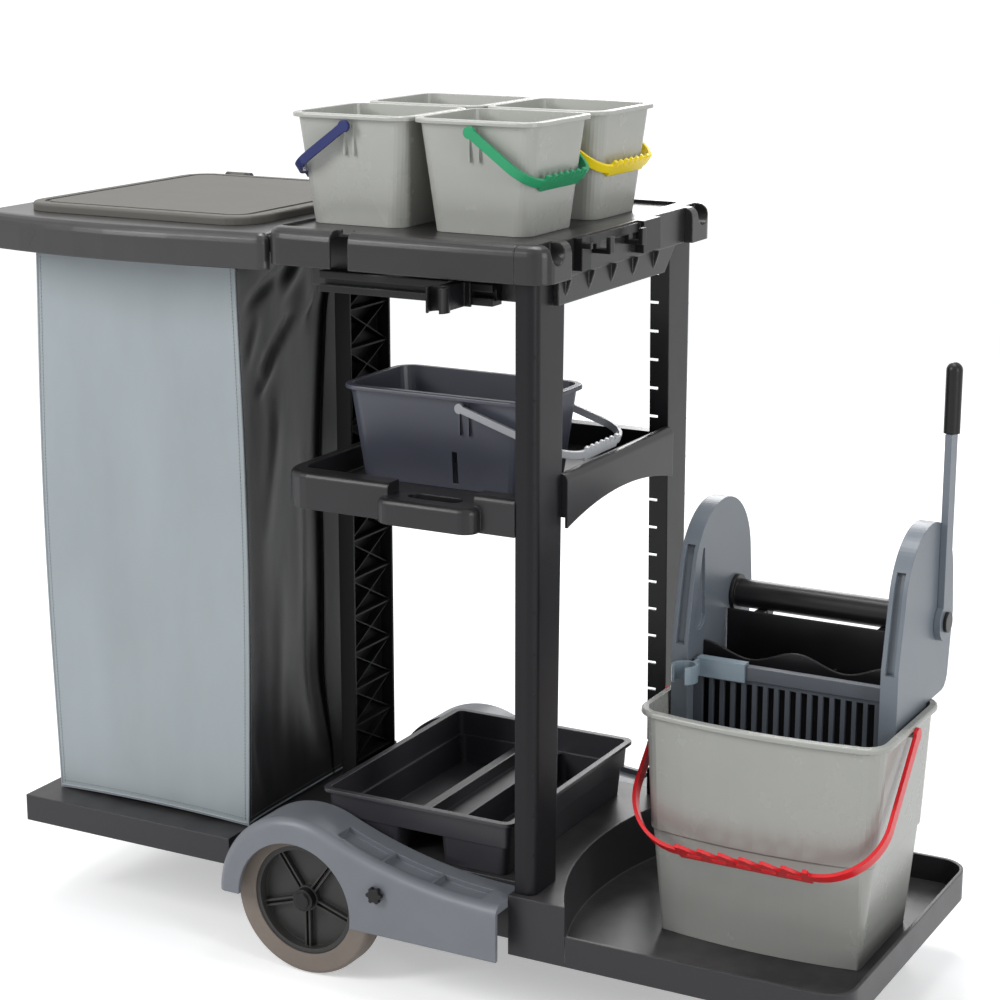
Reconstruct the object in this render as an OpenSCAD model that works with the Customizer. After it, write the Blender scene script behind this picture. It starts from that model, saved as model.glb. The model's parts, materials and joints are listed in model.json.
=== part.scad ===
// Janitor cart: a moulded tower on a wheeled deck, with a waste bag at the push end
// and a mop bucket with a flat press wringer at the other end.
// X runs along the cart, Y from front to rear, Z up from the floor.

/* [Overall] */
// Length from the push end to the bumper of the mop bay
cart_len = 1340; // [1330:1:1360]
// Width over the two wheel covers
cart_w = 570; // [566:1:580]
// Height of the top tray rim above the floor
tray_top = 1053; // [1045:1:1075]

/* [Deck] */
// Height of the bag platform above the floor
platform_h = 165; // [160:1:170]
// Height of the deck below the tower
deck_h = 180; // [176:1:184]
// Height of the mop bay floor
bay_h = 100; // [98:1:102]
// Distance of the deck from the cart's side, beside each wheel
deck_in = 80; // [78:1:82]
// Distance of the bag platform from the cart's side
platform_in = 51; // [47:1:55]
// Distance of the mop bay from the cart's side
bay_in = 35; // [32:1:40]
// Wall thickness of the deck moulding
deck_wall = 5; // [4:0.5:6]
// Radius of the curved step down into the mop bay
bay_r = 500; // [480:1:520]
// Height of the low wall round the mop bay
bay_wall_h = 38; // [34:1:42]

/* [Wheels] */
// Diameter of the large wheels
wheel_d = 220; // [214:1:224]
// Place of the wheel axle along the cart
wheel_x = -130; // [-136:1:-124]
// Width of the tyre tread
tyre_w = 40; // [36:1:42]
// Height of the tyre section
tyre_h = 30; // [26:1:34]
// Diameter of the steel axle
axle_d = 16; // [14:1:18]
// Spokes of the rim
spokes = 5; // [4:1:6]

/* [Wheel covers] */
// Outer radius of a cover's arch about the axle
cover_top_r = 128; // [126:1:132]
// Radius of the round opening that shows the wheel
arch_r = 92; // [88:1:96]
// Wall thickness of a cover
cover_wall = 6; // [5:0.5:7]
// Rounding of the outer edge
cover_edge = 14; // [10:1:16]
// Right end of a cover along the cart
cover_x1 = 190; // [184:1:192]
// Height of a cover at its right end
cover_end_h = 174; // [170:1:178]
// Height of the lower edge of a cover
cover_low = 96; // [90:1:104]
// Width of the small parts channel in a cover
channel_w = 34; // [28:1:38]
// Depth of the small parts channel
channel_d = 8; // [6:0.5:10]

/* [Casters] */
// Diameter of a caster wheel
caster_d = 75; // [72:1:78]
// Width of a caster wheel
caster_w = 24; // [20:1:28]
// Trail from the swivel axis to the wheel axle
trail = 26; // [22:1:30]
// Distance of the casters from the right end
caster_in = 80; // [74:1:90]
// Distance between the two casters
caster_gap = 372; // [360:1:384]

/* [Tower] */
// Left end of the tower along the cart
tower_x0 = -171; // [-174:1:-168]
// Length of the top tray
tray_len = 418; // [412:1:424]
// Depth of the top tray from front to rear
tray_w = 520; // [514:1:526]
// Height of the tray fascia
fascia_h = 49; // [46:1:54]
// Rounding of the upper fascia edge
fascia_r = 14; // [10:1:16]
// Depth of the raised rim above the tray floor
tray_rim = 5; // [3:0.5:7]
// Wall thickness of tray, frame and shelf mouldings
tray_wall = 4; // [3:0.5:5]
// Left side of the right posts along the cart
post_x = 195; // [193:1:197]
// Thickness of a post along the cart
post_t = 29; // [26:1:31]
// Depth of a post at its top
post_top = 79; // [74:1:84]
// Depth of a post at its foot
post_foot = 63; // [58:1:68]
// Distance of the post faces from the tray edge
post_in = 20; // [16:1:24]
// Wall thickness of posts and column
post_wall = 4; // [3:0.5:5]
// Distance between ribs in posts and column
rib_pitch = 56; // [48:1:64]
// Depth of the centre column along the cart
column_t = 24; // [20:1:28]
// Width of the centre column
column_w = 110; // [100:1:120]

/* [Middle shelf] */
// Height of the shelf floor
shelf_h = 690; // [680:1:700]
// Depth of the shelf skirt below its floor
shelf_skirt = 18; // [15:1:22]
// Height of the shelf rim above its floor
shelf_rim = 32; // [28:1:36]
// Height of the raised right end above the floor
shelf_end = 54; // [48:1:58]
// Length of the front hand grip
grip_len = 150; // [140:1:160]

/* [Bag] */
// Drop of the bag frame below the tray rim
frame_drop = 10; // [8:1:14]
// Bow of the frame's long sides
frame_bow = 20; // [14:1:24]
// Length of the bag along the cart
bag_len = 340; // [320:1:344]
// Width of the bag
bag_w = 366; // [350:1:376]
// Distance of the bag from the push end
bag_in = 58; // [54:1:62]
// Depth of the inward fold in the bag's sides
bag_fold = 34; // [20:1:40]
// Thickness of the bag's wall
bag_wall = 3; // [2.5:0.5:4]
// Length of the lid
lid_len = 384; // [376:1:388]
// Width of the lid
lid_w = 432; // [424:1:440]
// Thickness of the lid
lid_t = 12; // [10:1:14]
// Diameter of the lid's hinge pins
pin_d = 6; // [5:0.5:7]

/* [Buckets] */
// Length of a small bucket's rim along the cart
small_l = 186; // [180:1:188]
// Depth of a small bucket's rim
small_w = 178; // [172:1:180]
// Height of a small bucket
small_h = 148; // [142:1:152]
// Gap along the cart between small buckets
small_gap_x = 2; // [1:0.5:4]
// Gap between the front and rear small buckets
small_gap_y = 17; // [16:1:20]
// Place of the small buckets' common centre along the cart
small_x = 7; // [5:1:9]
// Place of the small buckets' common centre from front to rear
small_y = 0; // [-4:1:6]
// Length of the shelf bucket's rim along the cart
shelfb_l = 300; // [290:1:306]
// Depth of the shelf bucket's rim
shelfb_w = 178; // [170:1:184]
// Height of the shelf bucket
shelfb_h = 133; // [128:1:138]
// Wall thickness of the buckets
bucket_wall = 3; // [2.5:0.25:3.5]
// Overhang of a bucket rim
bucket_flange = 7; // [6:0.5:8]
// Diameter of the pegs that carry a bail
peg_d = 8; // [7:0.5:9]
// Thickness of a bail
bail_t = 5; // [4:0.5:5.5]
// Droop of a small bucket's bail below level
bail_droop = 36; // [32:1:40]

/* [Base tray] */
// Length of the base tray's rim
btray_l = 302; // [296:1:306]
// Depth of the base tray's rim
btray_w = 390; // [380:1:394]
// Height of the base tray
btray_h = 81; // [76:1:88]
// Height of the wells below the tray's skirt
well_h = 42; // [38:1:46]
// Gap between the two wells
well_gap = 66; // [56:1:76]

/* [Mop bucket] */
// Length of the mop bucket's rim along the cart
mop_l = 352; // [346:1:354]
// Depth of the mop bucket's rim
mop_w = 270; // [262:1:278]
// Height of the mop bucket
mop_h = 320; // [312:1:328]
// Draft of the mop bucket's walls from rim to floor
mop_draft = 26; // [22:1:30]
// Reach of the mop bucket's bail
mop_reach = 222; // [216:1:230]
// Droop of the mop bucket's bail below level
mop_droop = 47; // [44:1:50]

/* [Wringer] */
// Thickness of a wringer side panel
panel_t = 24; // [20:1:26]
// Height of the wringer above the bucket rim
wringer_h = 251; // [246:1:256]
// Depth of a side panel from front to rear
panel_w = 220; // [214:1:224]
// Diameter of the press shaft
shaft_d = 40; // [36:1:42]
// Length of the press lever
lever_len = 360; // [330:1:380]
// Slots of the basket grille
grille_slots = 16; // [14:1:18]

/* [Fits] */
// Gap where one piece stands on or beside another
seat = 0.3; // [0.2:0.05:0.4]
// Radial running gap round pins and axles
run = 0.08; // [0.04:0.01:0.1]
// Open seam between neighbouring mouldings
seam = 0.6; // [0.4:0.1:0.9]

/* [Hidden] */
$fn = 48;
// Facets of one rounded corner, and of one rounded edge
corner_n = 6;
edge_n = 4;
// Points along a bowed side
bow_n = 7;
// Overlap that makes a cut run cleanly through a face
cut = 1;

// Overall places
end_x = cart_len / 2;
side_y = cart_w / 2;
deck_w = cart_w - 2 * deck_in;
platform_w = cart_w - 2 * platform_in;
bay_w = cart_w - 2 * bay_in;
tray_x1 = tower_x0 + tray_len;
tray_cx = tower_x0 + tray_len / 2;
tray_low = tray_top - fascia_h;
tray_floor = tray_top - tray_rim;
frame_top = tray_top - frame_drop;
frame_low = tray_low - frame_drop;
post_face = tray_w / 2 - post_in;
column_x1 = tower_x0 + 4;
wheel_r = wheel_d / 2;
cover_in = deck_w / 2;
tyre_y = side_y - cover_edge - cover_wall - 5;
deck_left = column_x1 - column_t - 8;
platform_x1 = wheel_x - cover_top_r - 14;

// Blacks, greys and the bail colours
black = [0.13, 0.13, 0.135];
soft_black = [0.17, 0.17, 0.18];
grey = [0.46, 0.48, 0.5];
light_grey = [0.64, 0.645, 0.62];
slate = [0.33, 0.34, 0.39];
wringer_grey = [0.41, 0.44, 0.47];
rim_grey = [0.26, 0.255, 0.25];
tyre_grey = [0.45, 0.42, 0.39];
tread_grey = [0.3, 0.3, 0.3];
steel = [0.62, 0.63, 0.64];

// Outlines and plain solids

// Outline plan: length, width, corner radius, bow of the long sides, radius at the right end
function plan(l, w, r, bow = 0, right_r = 0) = [l, w, r, bow, right_r > 0 ? right_r : r];

// Quarter circle of points about a centre, from a start angle
function quarter(x, y, r, a0) =
    [for (i = [0:corner_n]) let (a = a0 + 90 * i / corner_n) [x + r * cos(a), y + r * sin(a)]];

// Points between the ends of a side that bows outwards
function bowed(hx, y, bow, dir) = bow == 0 ? [] :
    [for (i = [1:bow_n]) let (t = dir * (1 - 2 * i / (bow_n + 1)))
        [hx * t, y + sign(y) * bow * (1 - t * t)]];

// Ring of points on a plan grown by a margin, counter-clockwise from above, at a height
function ring(o, g, z) =
    let (l = o[0] / 2 + g, w = o[1] / 2 + g, r = o[2] + g, q = o[4] + g, hx = l - max(r, q))
    [for (p = concat(
        quarter(l - q, -w + q, q, -90),
        quarter(l - q, w - q, q, 0),
        bowed(hx, w, o[3], 1),
        quarter(-l + r, w - r, r, 90),
        quarter(-l + r, -w + r, r, 180),
        bowed(hx, -w, o[3], -1))) [p.x, p.y, z]];

// Solid skinned through a stack of rings with equal counts; a folded one takes triangles
module skin(rings, folded = false) {
    n = len(rings[0]);
    m = len(rings);
    sides = [for (k = [0:m - 2], i = [0:n - 1])
        let (a = k * n + i, b = k * n + (i + 1) % n)
        each folded ? [[a, a + n, b + n], [a, b + n, b]] : [[a, a + n, b + n, b]]];
    foot = [[for (i = [0:n - 1]) i]];
    head = [[for (i = [n - 1:-1:0]) (m - 1) * n + i]];
    polyhedron(points = [for (r = rings) each r], faces = concat(foot, head, sides));
}

// Slab on a plan, with a rounded upper edge and, where asked, a rounded lower edge
module slab(o, z0, z1, top_r, low_r = 0) {
    turns = [for (i = [0:edge_n]) 90 * i / edge_n];
    low = low_r > 0
        ? [for (a = turns) ring(o, -low_r * (1 - sin(a)), z0 + low_r * (1 - cos(a)))]
        : [ring(o, 0, z0)];
    top = [for (a = turns) ring(o, -top_r * (1 - cos(a)), z1 - top_r * (1 - sin(a)))];
    skin(concat(low, top));
}

// Upright prism on a rounded rectangle with true round corners
module pad(l, w, h, r) {
    linear_extrude(h) {
        square([l - 2 * r, w], center = true);
        square([l, w - 2 * r], center = true);
        for (sx = [-1, 1], sy = [-1, 1])
            translate([sx * (l / 2 - r), sy * (w / 2 - r)]) circle(r);
    }
}

// Box given by its two corners
module block(a, b) {
    translate(a) cube(b - a);
}

// Round bar along Y between two places
module bar_y(d, y0, y1) {
    translate([0, y0, 0]) rotate([-90, 0, 0]) cylinder(d = d, h = y1 - y0);
}

// Round bar along X between two places
module bar_x(d, x0, x1) {
    translate([x0, 0, 0]) rotate([0, 90, 0]) cylinder(d = d, h = x1 - x0);
}

// Copy on the other side of the cart
module rear() {
    mirror([0, 1, 0]) children();
}

// A piece and its copy on the other side
module both() {
    children();
    rear() children();
}

// A flat outline in the Y-Z plane, given its thickness along X from a place
module plate_x(x, t) {
    translate([x, 0, 0]) rotate([90, 0, 90]) linear_extrude(t) children();
}

// Deck

platform_x0 = -end_x + 30;
platform_skirt = 40;
platform_ribs = 3;
platform_rib_h = 30;
skirt_low = bay_h - deck_wall;
bay_x0 = post_x + post_t - 16;
bay_arc_x = bay_x0 + bay_r;
bay_corner = 40;
tower_end = bay_arc_x - sqrt(bay_r * bay_r - pow(bay_w / 2, 2)) + deck_wall + cut;
carrier_l = 44;

module base_deck() {
    t = deck_wall;
    rib_gap = (platform_x1 - platform_x0) / (platform_ribs + 1);
    color(black) {
        // Bag platform, open below with cross ribs
        difference() {
            block([platform_x0, -platform_w / 2, platform_h - platform_skirt],
                [platform_x1, platform_w / 2, platform_h]);
            block([platform_x0 + t, -platform_w / 2 + t, platform_h - platform_skirt - cut],
                [platform_x1 - t, platform_w / 2 - t, platform_h - t]);
        }
        for (i = [1:platform_ribs])
            translate([platform_x0 + i * rib_gap, 0, platform_h - t - platform_rib_h / 2])
                cube([t, platform_w - t, platform_rib_h + cut], center = true);
        // Neck between the wheels
        difference() {
            block([platform_x1 - t, -deck_w / 2, skirt_low], [deck_left, deck_w / 2, platform_h]);
            block([platform_x1, -deck_w / 2 + t, skirt_low - cut],
                [deck_left + cut, deck_w / 2 - t, platform_h - t]);
        }
        // Tower base with the curved step down to the mop bay
        difference() {
            union() {
                block([deck_left, -deck_w / 2, skirt_low], [post_x, deck_w / 2, deck_h]);
                block([cover_x1 + seat, -bay_w / 2, skirt_low], [tower_end, bay_w / 2, deck_h]);
            }
            block([deck_left + t, -deck_w / 2 + t, skirt_low - cut],
                [bay_x0 - t, deck_w / 2 - t, deck_h - t]);
            both()
                block([cover_x1 + seat + t, -bay_w / 2 + t, skirt_low - cut],
                    [post_x + post_t, -deck_w / 2, deck_h - t]);
            translate([bay_arc_x, 0, bay_h]) cylinder(r = bay_r, h = deck_h, $fn = 96);
            translate([wheel_x, 0, wheel_r]) bar_y(axle_d + 2 * run, -deck_w, deck_w);
        }
        // Axle carriers
        both()
            translate([wheel_x, -deck_w / 4, 0]) difference() {
                block([-carrier_l / 2, -t, skirt_low], [carrier_l / 2, t, deck_h - t]);
                translate([0, 0, wheel_r]) bar_y(axle_d + 2 * run, -deck_w, deck_w);
            }
        // Mop bay floor with its low wall
        difference() {
            translate([(bay_x0 + end_x) / 2, 0, skirt_low])
                pad(end_x - bay_x0, bay_w, bay_wall_h + t, bay_corner);
            translate([(bay_x0 + end_x) / 2, 0, bay_h])
                pad(end_x - bay_x0 - 2 * t, bay_w - 2 * t, bay_wall_h + cut, bay_corner - t);
            block([bay_x0 - cut, -bay_w / 2 - cut, bay_h], [tower_end - t, bay_w / 2 + cut, deck_h]);
            // Room below the tower base stays open
            block([bay_x0 - cut, -bay_w / 2 + t, skirt_low - cut],
                [bay_x0 + t, bay_w / 2 - t, skirt_low + cut]);
        }
    }
}

// Wheel covers: two tangent sweeps, one over the wheel and one hollow curve down to the post

// Radius of the hollow curve that meets the arch and ends level at the post
hollow_dx = cover_x1 - wheel_x;
hollow_dz = cover_end_h - wheel_r;
hollow_r = (hollow_dx * hollow_dx + hollow_dz * hollow_dz - cover_top_r * cover_top_r)
    / (2 * (cover_top_r - hollow_dz));
hollow_z = cover_end_h + hollow_r;
meet_a = atan2(hollow_z - wheel_r, hollow_dx);
hollow_a = 90 - meet_a;
hollow_roof = channel_d + cover_wall / 2;
cover_d = side_y - cover_in - seat;
cover_skirt = cover_end_h - cover_low + 40;
channel_in = cover_edge + 4;
channel_bays = 3;
channel_start = 2.5;
channel_rib = 0.25;

// Cover section: radius along x with the roof at its top end, depth inwards along y
module cover_section(top, low, roof) {
    difference() {
        union() {
            translate([low, 0]) square([top - low - cover_edge, cover_d]);
            translate([low, cover_edge]) square([top - low, cover_d - cover_edge]);
            translate([top - cover_edge, cover_edge]) circle(cover_edge);
        }
        translate([low - cut, cover_wall]) square([top - low - roof + cut, cover_d]);
    }
}

// Sweep about an axis along Y through a place, from a start angle onwards towards the left
module sweep_y(x, z, start, angle, n) {
    translate([x, -side_y, z]) rotate([-90, 0, 0]) rotate([0, 0, start])
        rotate_extrude(angle = angle, $fn = n) children();
}

module wheel_cover() {
    bay_a = (hollow_a - channel_start - 1) / channel_bays;
    difference() {
        union() {
            sweep_y(wheel_x, wheel_r, 180, 180 - meet_a, 96)
                cover_section(cover_top_r, arch_r, cover_wall);
            difference() {
                sweep_y(cover_x1, hollow_z, 90, hollow_a, 180)
                    translate([2 * hollow_r, 0]) mirror([1, 0, 0])
                        cover_section(hollow_r, hollow_r - cover_skirt, hollow_roof);
                block([wheel_x - arch_r, -side_y - cut, -wheel_d], [cover_x1 + cut, 0, cover_low]);
            }
        }
        translate([wheel_x, 0, wheel_r]) bar_y(2 * arch_r, -side_y - cut, -side_y + cover_wall + cut);
        // Small parts channel with cross ribs
        for (i = [0:channel_bays - 1])
            sweep_y(cover_x1, hollow_z, 90 + channel_start + i * bay_a, bay_a - channel_rib, 180)
                translate([hollow_r - cut, channel_in]) square([channel_d + cut, channel_w]);
    }
}

module front_wheel_cover() {
    color(grey) wheel_cover();
}

module rear_wheel_cover() {
    color(grey) rear() wheel_cover();
}

// Star knobs that clamp the covers
knob_x = wheel_x + arch_r + 44;
knob_z = (cover_low + cover_end_h) / 2 + 22;
knob_d = 18;
knob_h = 9;
knob_lobes = 6;
module knob() {
    translate([knob_x, -side_y - seat, knob_z]) rotate([90, 0, 0]) {
        cylinder(d = knob_d * 0.7, h = knob_h);
        translate([0, 0, 2]) cylinder(d = knob_d, h = knob_h - 2);
        for (i = [0:knob_lobes - 1])
            rotate(360 / knob_lobes * i) translate([knob_d / 2, 0, 2])
                cylinder(d = knob_d / 3, h = knob_h - 2, $fn = 24);
    }
}

module cover_knobs() {
    color(black) both() knob();
}

// Posts: corner channels that taper towards the foot, with gusset ribs
post_z0 = deck_h + seat;
post_rise = tray_low - seat - post_z0;
function post_depth(z) = post_foot + (post_top - post_foot) * (z - post_z0) / post_rise;
post_r = post_t * 0.45;
rib_t = 3;
slit_pitch = 41;
slit_h = 4;
slit_l = 13;
module post() {
    r = post_r;
    w = post_wall;
    taper = atan2(post_top - post_foot, post_rise);
    ribs = floor(post_rise / rib_pitch) - 1;
    translate([post_x, -post_face, post_z0]) difference() {
        union() {
            // Face skin, outer skin and the rounded corner between them
            linear_extrude(post_rise) difference() {
                union() {
                    translate([0, r]) square([post_t, post_top - r]);
                    square([post_t - r, post_top]);
                    translate([post_t - r, r]) circle(r);
                }
                translate([-cut, w]) square([post_t - r + cut, post_top]);
                translate([0, r]) square([post_t - w, post_top]);
                translate([post_t - r, r]) circle(r - w);
            }
            // Gusset ribs across the open corner
            for (i = [1:ribs])
                translate([0, 0, i * rib_pitch]) linear_extrude(rib_t)
                    polygon([[0, w - cut], [post_t - w + cut, w - cut],
                        [post_t - w + cut, post_foot - rib_t]]);
            // Return at the free edge of the outer skin, with short slits
            intersection() {
                block([0, 0, 0], [post_t, post_top, post_rise]);
                difference() {
                    translate([0, post_foot, 0]) rotate([-taper, 0, 0])
                        block([0, -w, -post_top], [post_t - cut, cut, post_rise + post_top]);
                    for (z = [slit_pitch:slit_pitch:post_rise - slit_pitch])
                        block([-cut, 0, z], [slit_l, post_top, z + slit_h]);
                }
            }
        }
        // Taper of the outer skin
        translate([-cut, post_foot, 0]) rotate([-taper, 0, 0])
            translate([0, 0, -post_top]) cube([post_t + 2 * cut, post_top, post_rise + 3 * post_top]);
    }
}

module front_right_post() {
    color(black) post();
}

module rear_right_post() {
    color(black) rear() post();
}

// Centre column: channel open towards the tower, with cross ribs and diagonal braces
column_x0 = column_x1 - column_t;
brace_t = 2;
module centre_column() {
    w = post_wall;
    h = column_w / 2;
    ribs = floor(post_rise / rib_pitch) - 1;
    brace = norm([column_w, rib_pitch]);
    lean = atan2(rib_pitch, column_w);
    color(black) translate([column_x0, 0, post_z0]) {
        difference() {
            block([0, -h, 0], [column_t, h, post_rise]);
            block([w, -h + w, -cut], [column_t + cut, h - w, post_rise + cut]);
        }
        intersection() {
            block([w - cut, -h + cut, cut], [column_t - w, h - cut, post_rise - cut]);
            for (i = [1:ribs]) {
                translate([0, -h, i * rib_pitch]) cube([column_t - w, column_w, rib_t]);
                for (s = [-1, 1])
                    translate([column_t / 2 - w, 0, (i + 0.5) * rib_pitch + rib_t / 2])
                        rotate([s * lean, 0, 0])
                        cube([column_t - w, brace, brace_t], center = true);
            }
        }
    }
}

// Top tray: one shell whose two right corners are parted off as caps

tray_bow = 4;
tray_plan = plan(tray_len, tray_w, 26, tray_bow);
floor_in = 9;
cap_l = 44;
cap_w = 74;
end_in = 12;
tub_w = 390;
tub_low = tray_low - 34;
tub_x0 = column_x1 + 30;
tub_x1 = tray_x1 - end_in - 2;
tub_ribs = 3;
gussets = 5;
gusset_pitch = 66;
slot_l = 28;
slot_x = tower_x0 + 105 + slot_l / 2;
finger_l = 108;
tongue_y = 228;
tongue_l = 52;
tongue_w = 28;
tongue_h = 22;

module tray_body() {
    translate([tray_cx, 0, 0]) slab(tray_plan, tray_low, tray_top, fascia_r);
}

// Room of a corner cap, with the seam on its two inner sides
module cap_room(gap) {
    block([tray_x1 - cap_l + gap, -tray_w, tray_low - cut],
        [tray_x1 + tray_len, -tray_w / 2 + cap_w - gap, tray_top + cut]);
}

module tray_tub() {
    t = tray_wall;
    difference() {
        block([tub_x0, -tub_w / 2, tub_low], [tub_x1, tub_w / 2, tray_floor - 2]);
        block([tub_x0 + t, -tub_w / 2 + t, tub_low - cut], [tub_x1 - t, tub_w / 2 - t, tray_floor - t]);
        // Sloping far end of the right wall
        translate([tub_x1, tub_w / 2, tub_low]) rotate([45, 0, 0])
            cube([4 * t, tub_w / 4, tub_w / 4], center = true);
        both() {
            cap_room(0);
            // Room for the post's head
            block([post_x - seat, -tray_w, tub_low - cut],
                [post_x + post_t + 4 * seat, -post_inner, tray_low]);
        }
    }
    // Cross ribs below the tray floor
    for (i = [1:tub_ribs])
        translate([tub_x0 + i * (tub_x1 - tub_x0) / (tub_ribs + 1), 0, tray_floor - fascia_h / 2])
            cube([rib_t, tub_w - t, fascia_h - 2 * t], center = true);
    // Curved gussets on the right wall
    for (i = [0:gussets - 1])
        translate([tub_x1 - cut, -tub_w / 2 + 22 + i * gusset_pitch, tray_low - cut]) rotate([90, 0, 0])
            linear_extrude(rib_t) difference() {
                polygon([[0, 2], [9, 2], [9, -2], [0, -28]]);
                translate([22, -30]) circle(22);
            }
}

module top_tray() {
    t = tray_wall;
    rim_in = 22;
    end_x0 = tray_x1 - end_in;
    end_y = tray_w / 2 - cap_w;
    color(black) {
        difference() {
            tray_body();
            // Hollow underside
            translate([tray_cx, 0, 0])
                skin([for (z = [tray_low - cut, tray_floor - t]) ring(tray_plan, -t, z)]);
            // Sunk floor for the buckets
            translate([(tower_x0 + floor_in + tray_x1 - cap_l) / 2, 0, tray_floor])
                pad(tray_len - cap_l - floor_in, tray_w - 2 * rim_in, tray_rim + cut, 14);
            both() cap_room(0);
            // Recessed right end between the caps
            block([end_x0, -end_y - cut, tray_low - cut], [tray_x1 + cut, end_y + cut, tray_top + cut]);
            both() {
                // Slot in the fascia
                translate([slot_x, -tray_w / 2, tray_low - cut]) pad(slot_l, 44, fascia_h + 2 * cut, 6);
                // Oval finger recess behind the fascia
                translate([slot_x + 94, -tray_w / 2 + 36, tray_floor - t / 2]) pad(finger_l, 18, 10, 8.9);
            }
        }
        tray_tub();
        // Wall that closes the recessed right end
        block([end_x0 - t, -end_y, tray_low], [end_x0, end_y, tray_floor - cut]);
        // Left end wall
        block([tower_x0, -tray_w / 2 + 30, tray_low], [tower_x0 + t, tray_w / 2 - 30, tray_floor - cut]);
        both() {
            // Walls round the cap's room
            block([tray_x1 - cap_l - t, -tray_w / 2 + t / 2, tray_low],
                [tray_x1 - cap_l, -end_y, tray_floor - cut]);
            block([tray_x1 - cap_l - t, -end_y, tray_low], [end_x0, -end_y + t, tray_floor - cut]);
            // Tongue that carries the bag frame
            block([tower_x0 - tongue_l, -tongue_y - tongue_w / 2, frame_top - t - seat - tongue_h],
                [tower_x0 + end_in, -tongue_y + tongue_w / 2, frame_top - t - seat]);
        }
    }
}

notch_w = 36;
notch_h = 10;
module corner_cap() {
    t = tray_wall;
    difference() {
        intersection() {
            tray_body();
            cap_room(seam);
        }
        // Handle notch open to the right
        translate([tray_x1, -tray_w / 2 + cap_w / 2, tray_top - notch_h]) {
            bar_x(notch_w, -cap_l / 2, cap_l);
            block([-cap_l / 2, -notch_w / 2, 0], [cap_l, notch_w / 2, 2 * notch_h]);
        }
        // Hollow underside
        intersection() {
            translate([tray_cx, 0, 0])
                skin([for (z = [tray_low - cut, tray_top - notch_h - notch_w / 2 - t])
                    ring(tray_plan, -t, z)]);
            cap_room(seam + t);
        }
    }
}

module front_corner_cap() {
    color(black) corner_cap();
}

module rear_corner_cap() {
    color(black) rear() corner_cap();
}

// Rail with two J hooks on the right end of the tray
hook_ys = [-99, -2];
hook_w = 12;
hook_y0 = -tray_w / 2 + cap_w + 28;
hook_y1 = 26;
hook_foot = 27;
hook_out = 26;
hook_t = 6;
module hook_rail() {
    x = tray_x1 - end_in + seat;
    z0 = tray_low + fascia_h * 0.45;
    color(black) {
        block([x, hook_y0, tray_low + hook_t], [x + end_in, hook_y0 + hook_foot, tray_top]);
        block([x, hook_y1, tray_low + hook_t], [x + end_in, hook_y1 + 2 * hook_foot, tray_top]);
        block([x, hook_y0 + cut, tray_top - 14], [x + hook_t, hook_y1 + cut, tray_top - 2]);
        block([x + end_in - cut, hook_y0, tray_top - 14],
            [x + end_in + 2 * hook_t, hook_y0 + hook_t, tray_top - hook_t]);
        for (y = hook_ys) {
            block([x, y - hook_w / 2, z0], [x + hook_t, y + hook_w / 2, tray_top - 8]);
            block([x, y - hook_w / 2, z0], [x + hook_out, y + hook_w / 2, z0 + hook_t]);
            block([x + hook_out - hook_t, y - hook_w / 2, z0], [x + hook_out, y + hook_w / 2, z0 + 22]);
        }
    }
}

// Clip rails on the tub's sides, and the sliding handle clips on them
rail_y = -tub_w / 2 - seat;
rail_d = 25;
rail_h = 28;
rail_x0 = tower_x0 + 62;
rail_x1 = tray_x1 - 96;
rail_z = tray_low - 24;
groove_in = 6;
groove_d = 6;
groove_h = 14;
groove_lip = 8;
module clip_rail() {
    face = rail_y - rail_d;
    difference() {
        block([rail_x0, face, rail_z - rail_h / 2], [rail_x1, rail_y, rail_z + rail_h / 2]);
        block([rail_x0 - cut, face + groove_in, rail_z - groove_h / 2],
            [rail_x1 + cut, face + groove_in + groove_d, rail_z + groove_h / 2]);
        block([rail_x0 - cut, face - cut, rail_z - groove_lip / 2],
            [rail_x1 + cut, face + groove_in + cut, rail_z + groove_lip / 2]);
    }
}

module front_clip_rail() {
    color(black) clip_rail();
}

module rear_clip_rail() {
    color(black) rear() clip_rail();
}

clip_l = 32;
clip_x = rail_x1 - 46;
clip_d = 24;
clip_wall = 3.5;
clip_back = 4;
clip_arm = 14;
// The ring stands out so far that a handle in it clears the fascia
handle_gap = 3;
clip_y = -tray_w / 2 - tray_bow - handle_gap - clip_d / 2;
module mop_clip() {
    face = rail_y - rail_d;
    g = 0.4;
    h = clip_l / 2;
    translate([clip_x, 0, rail_z]) {
        // Foot in the rail's groove
        block([-h, face - clip_back, -groove_lip / 2 + g],
            [h, face + groove_in + groove_d / 2, groove_lip / 2 - g]);
        block([-h, face + groove_in + g, -groove_h / 2 + g],
            [h, face + groove_in + groove_d - g, groove_h / 2 - g]);
        block([-h, face - clip_back, -h], [h, face - seat, h]);
        block([-clip_arm / 2, clip_y + clip_d / 2 + clip_wall / 2, -h], [clip_arm / 2, face - cut, h]);
        // Open ring that grips a handle
        translate([0, clip_y, -h]) difference() {
            cylinder(d = clip_d + 2 * clip_wall, h = clip_l);
            translate([0, 0, -cut]) cylinder(d = clip_d, h = clip_l + 2 * cut);
            translate([0, -clip_d / 2 - clip_wall, h])
                cube([clip_d * 0.72, clip_d, 2 * clip_l], center = true);
        }
    }
}

module front_mop_clip() {
    color(black) mop_clip();
}

module rear_mop_clip() {
    color(black) rear() mop_clip();
}

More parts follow.
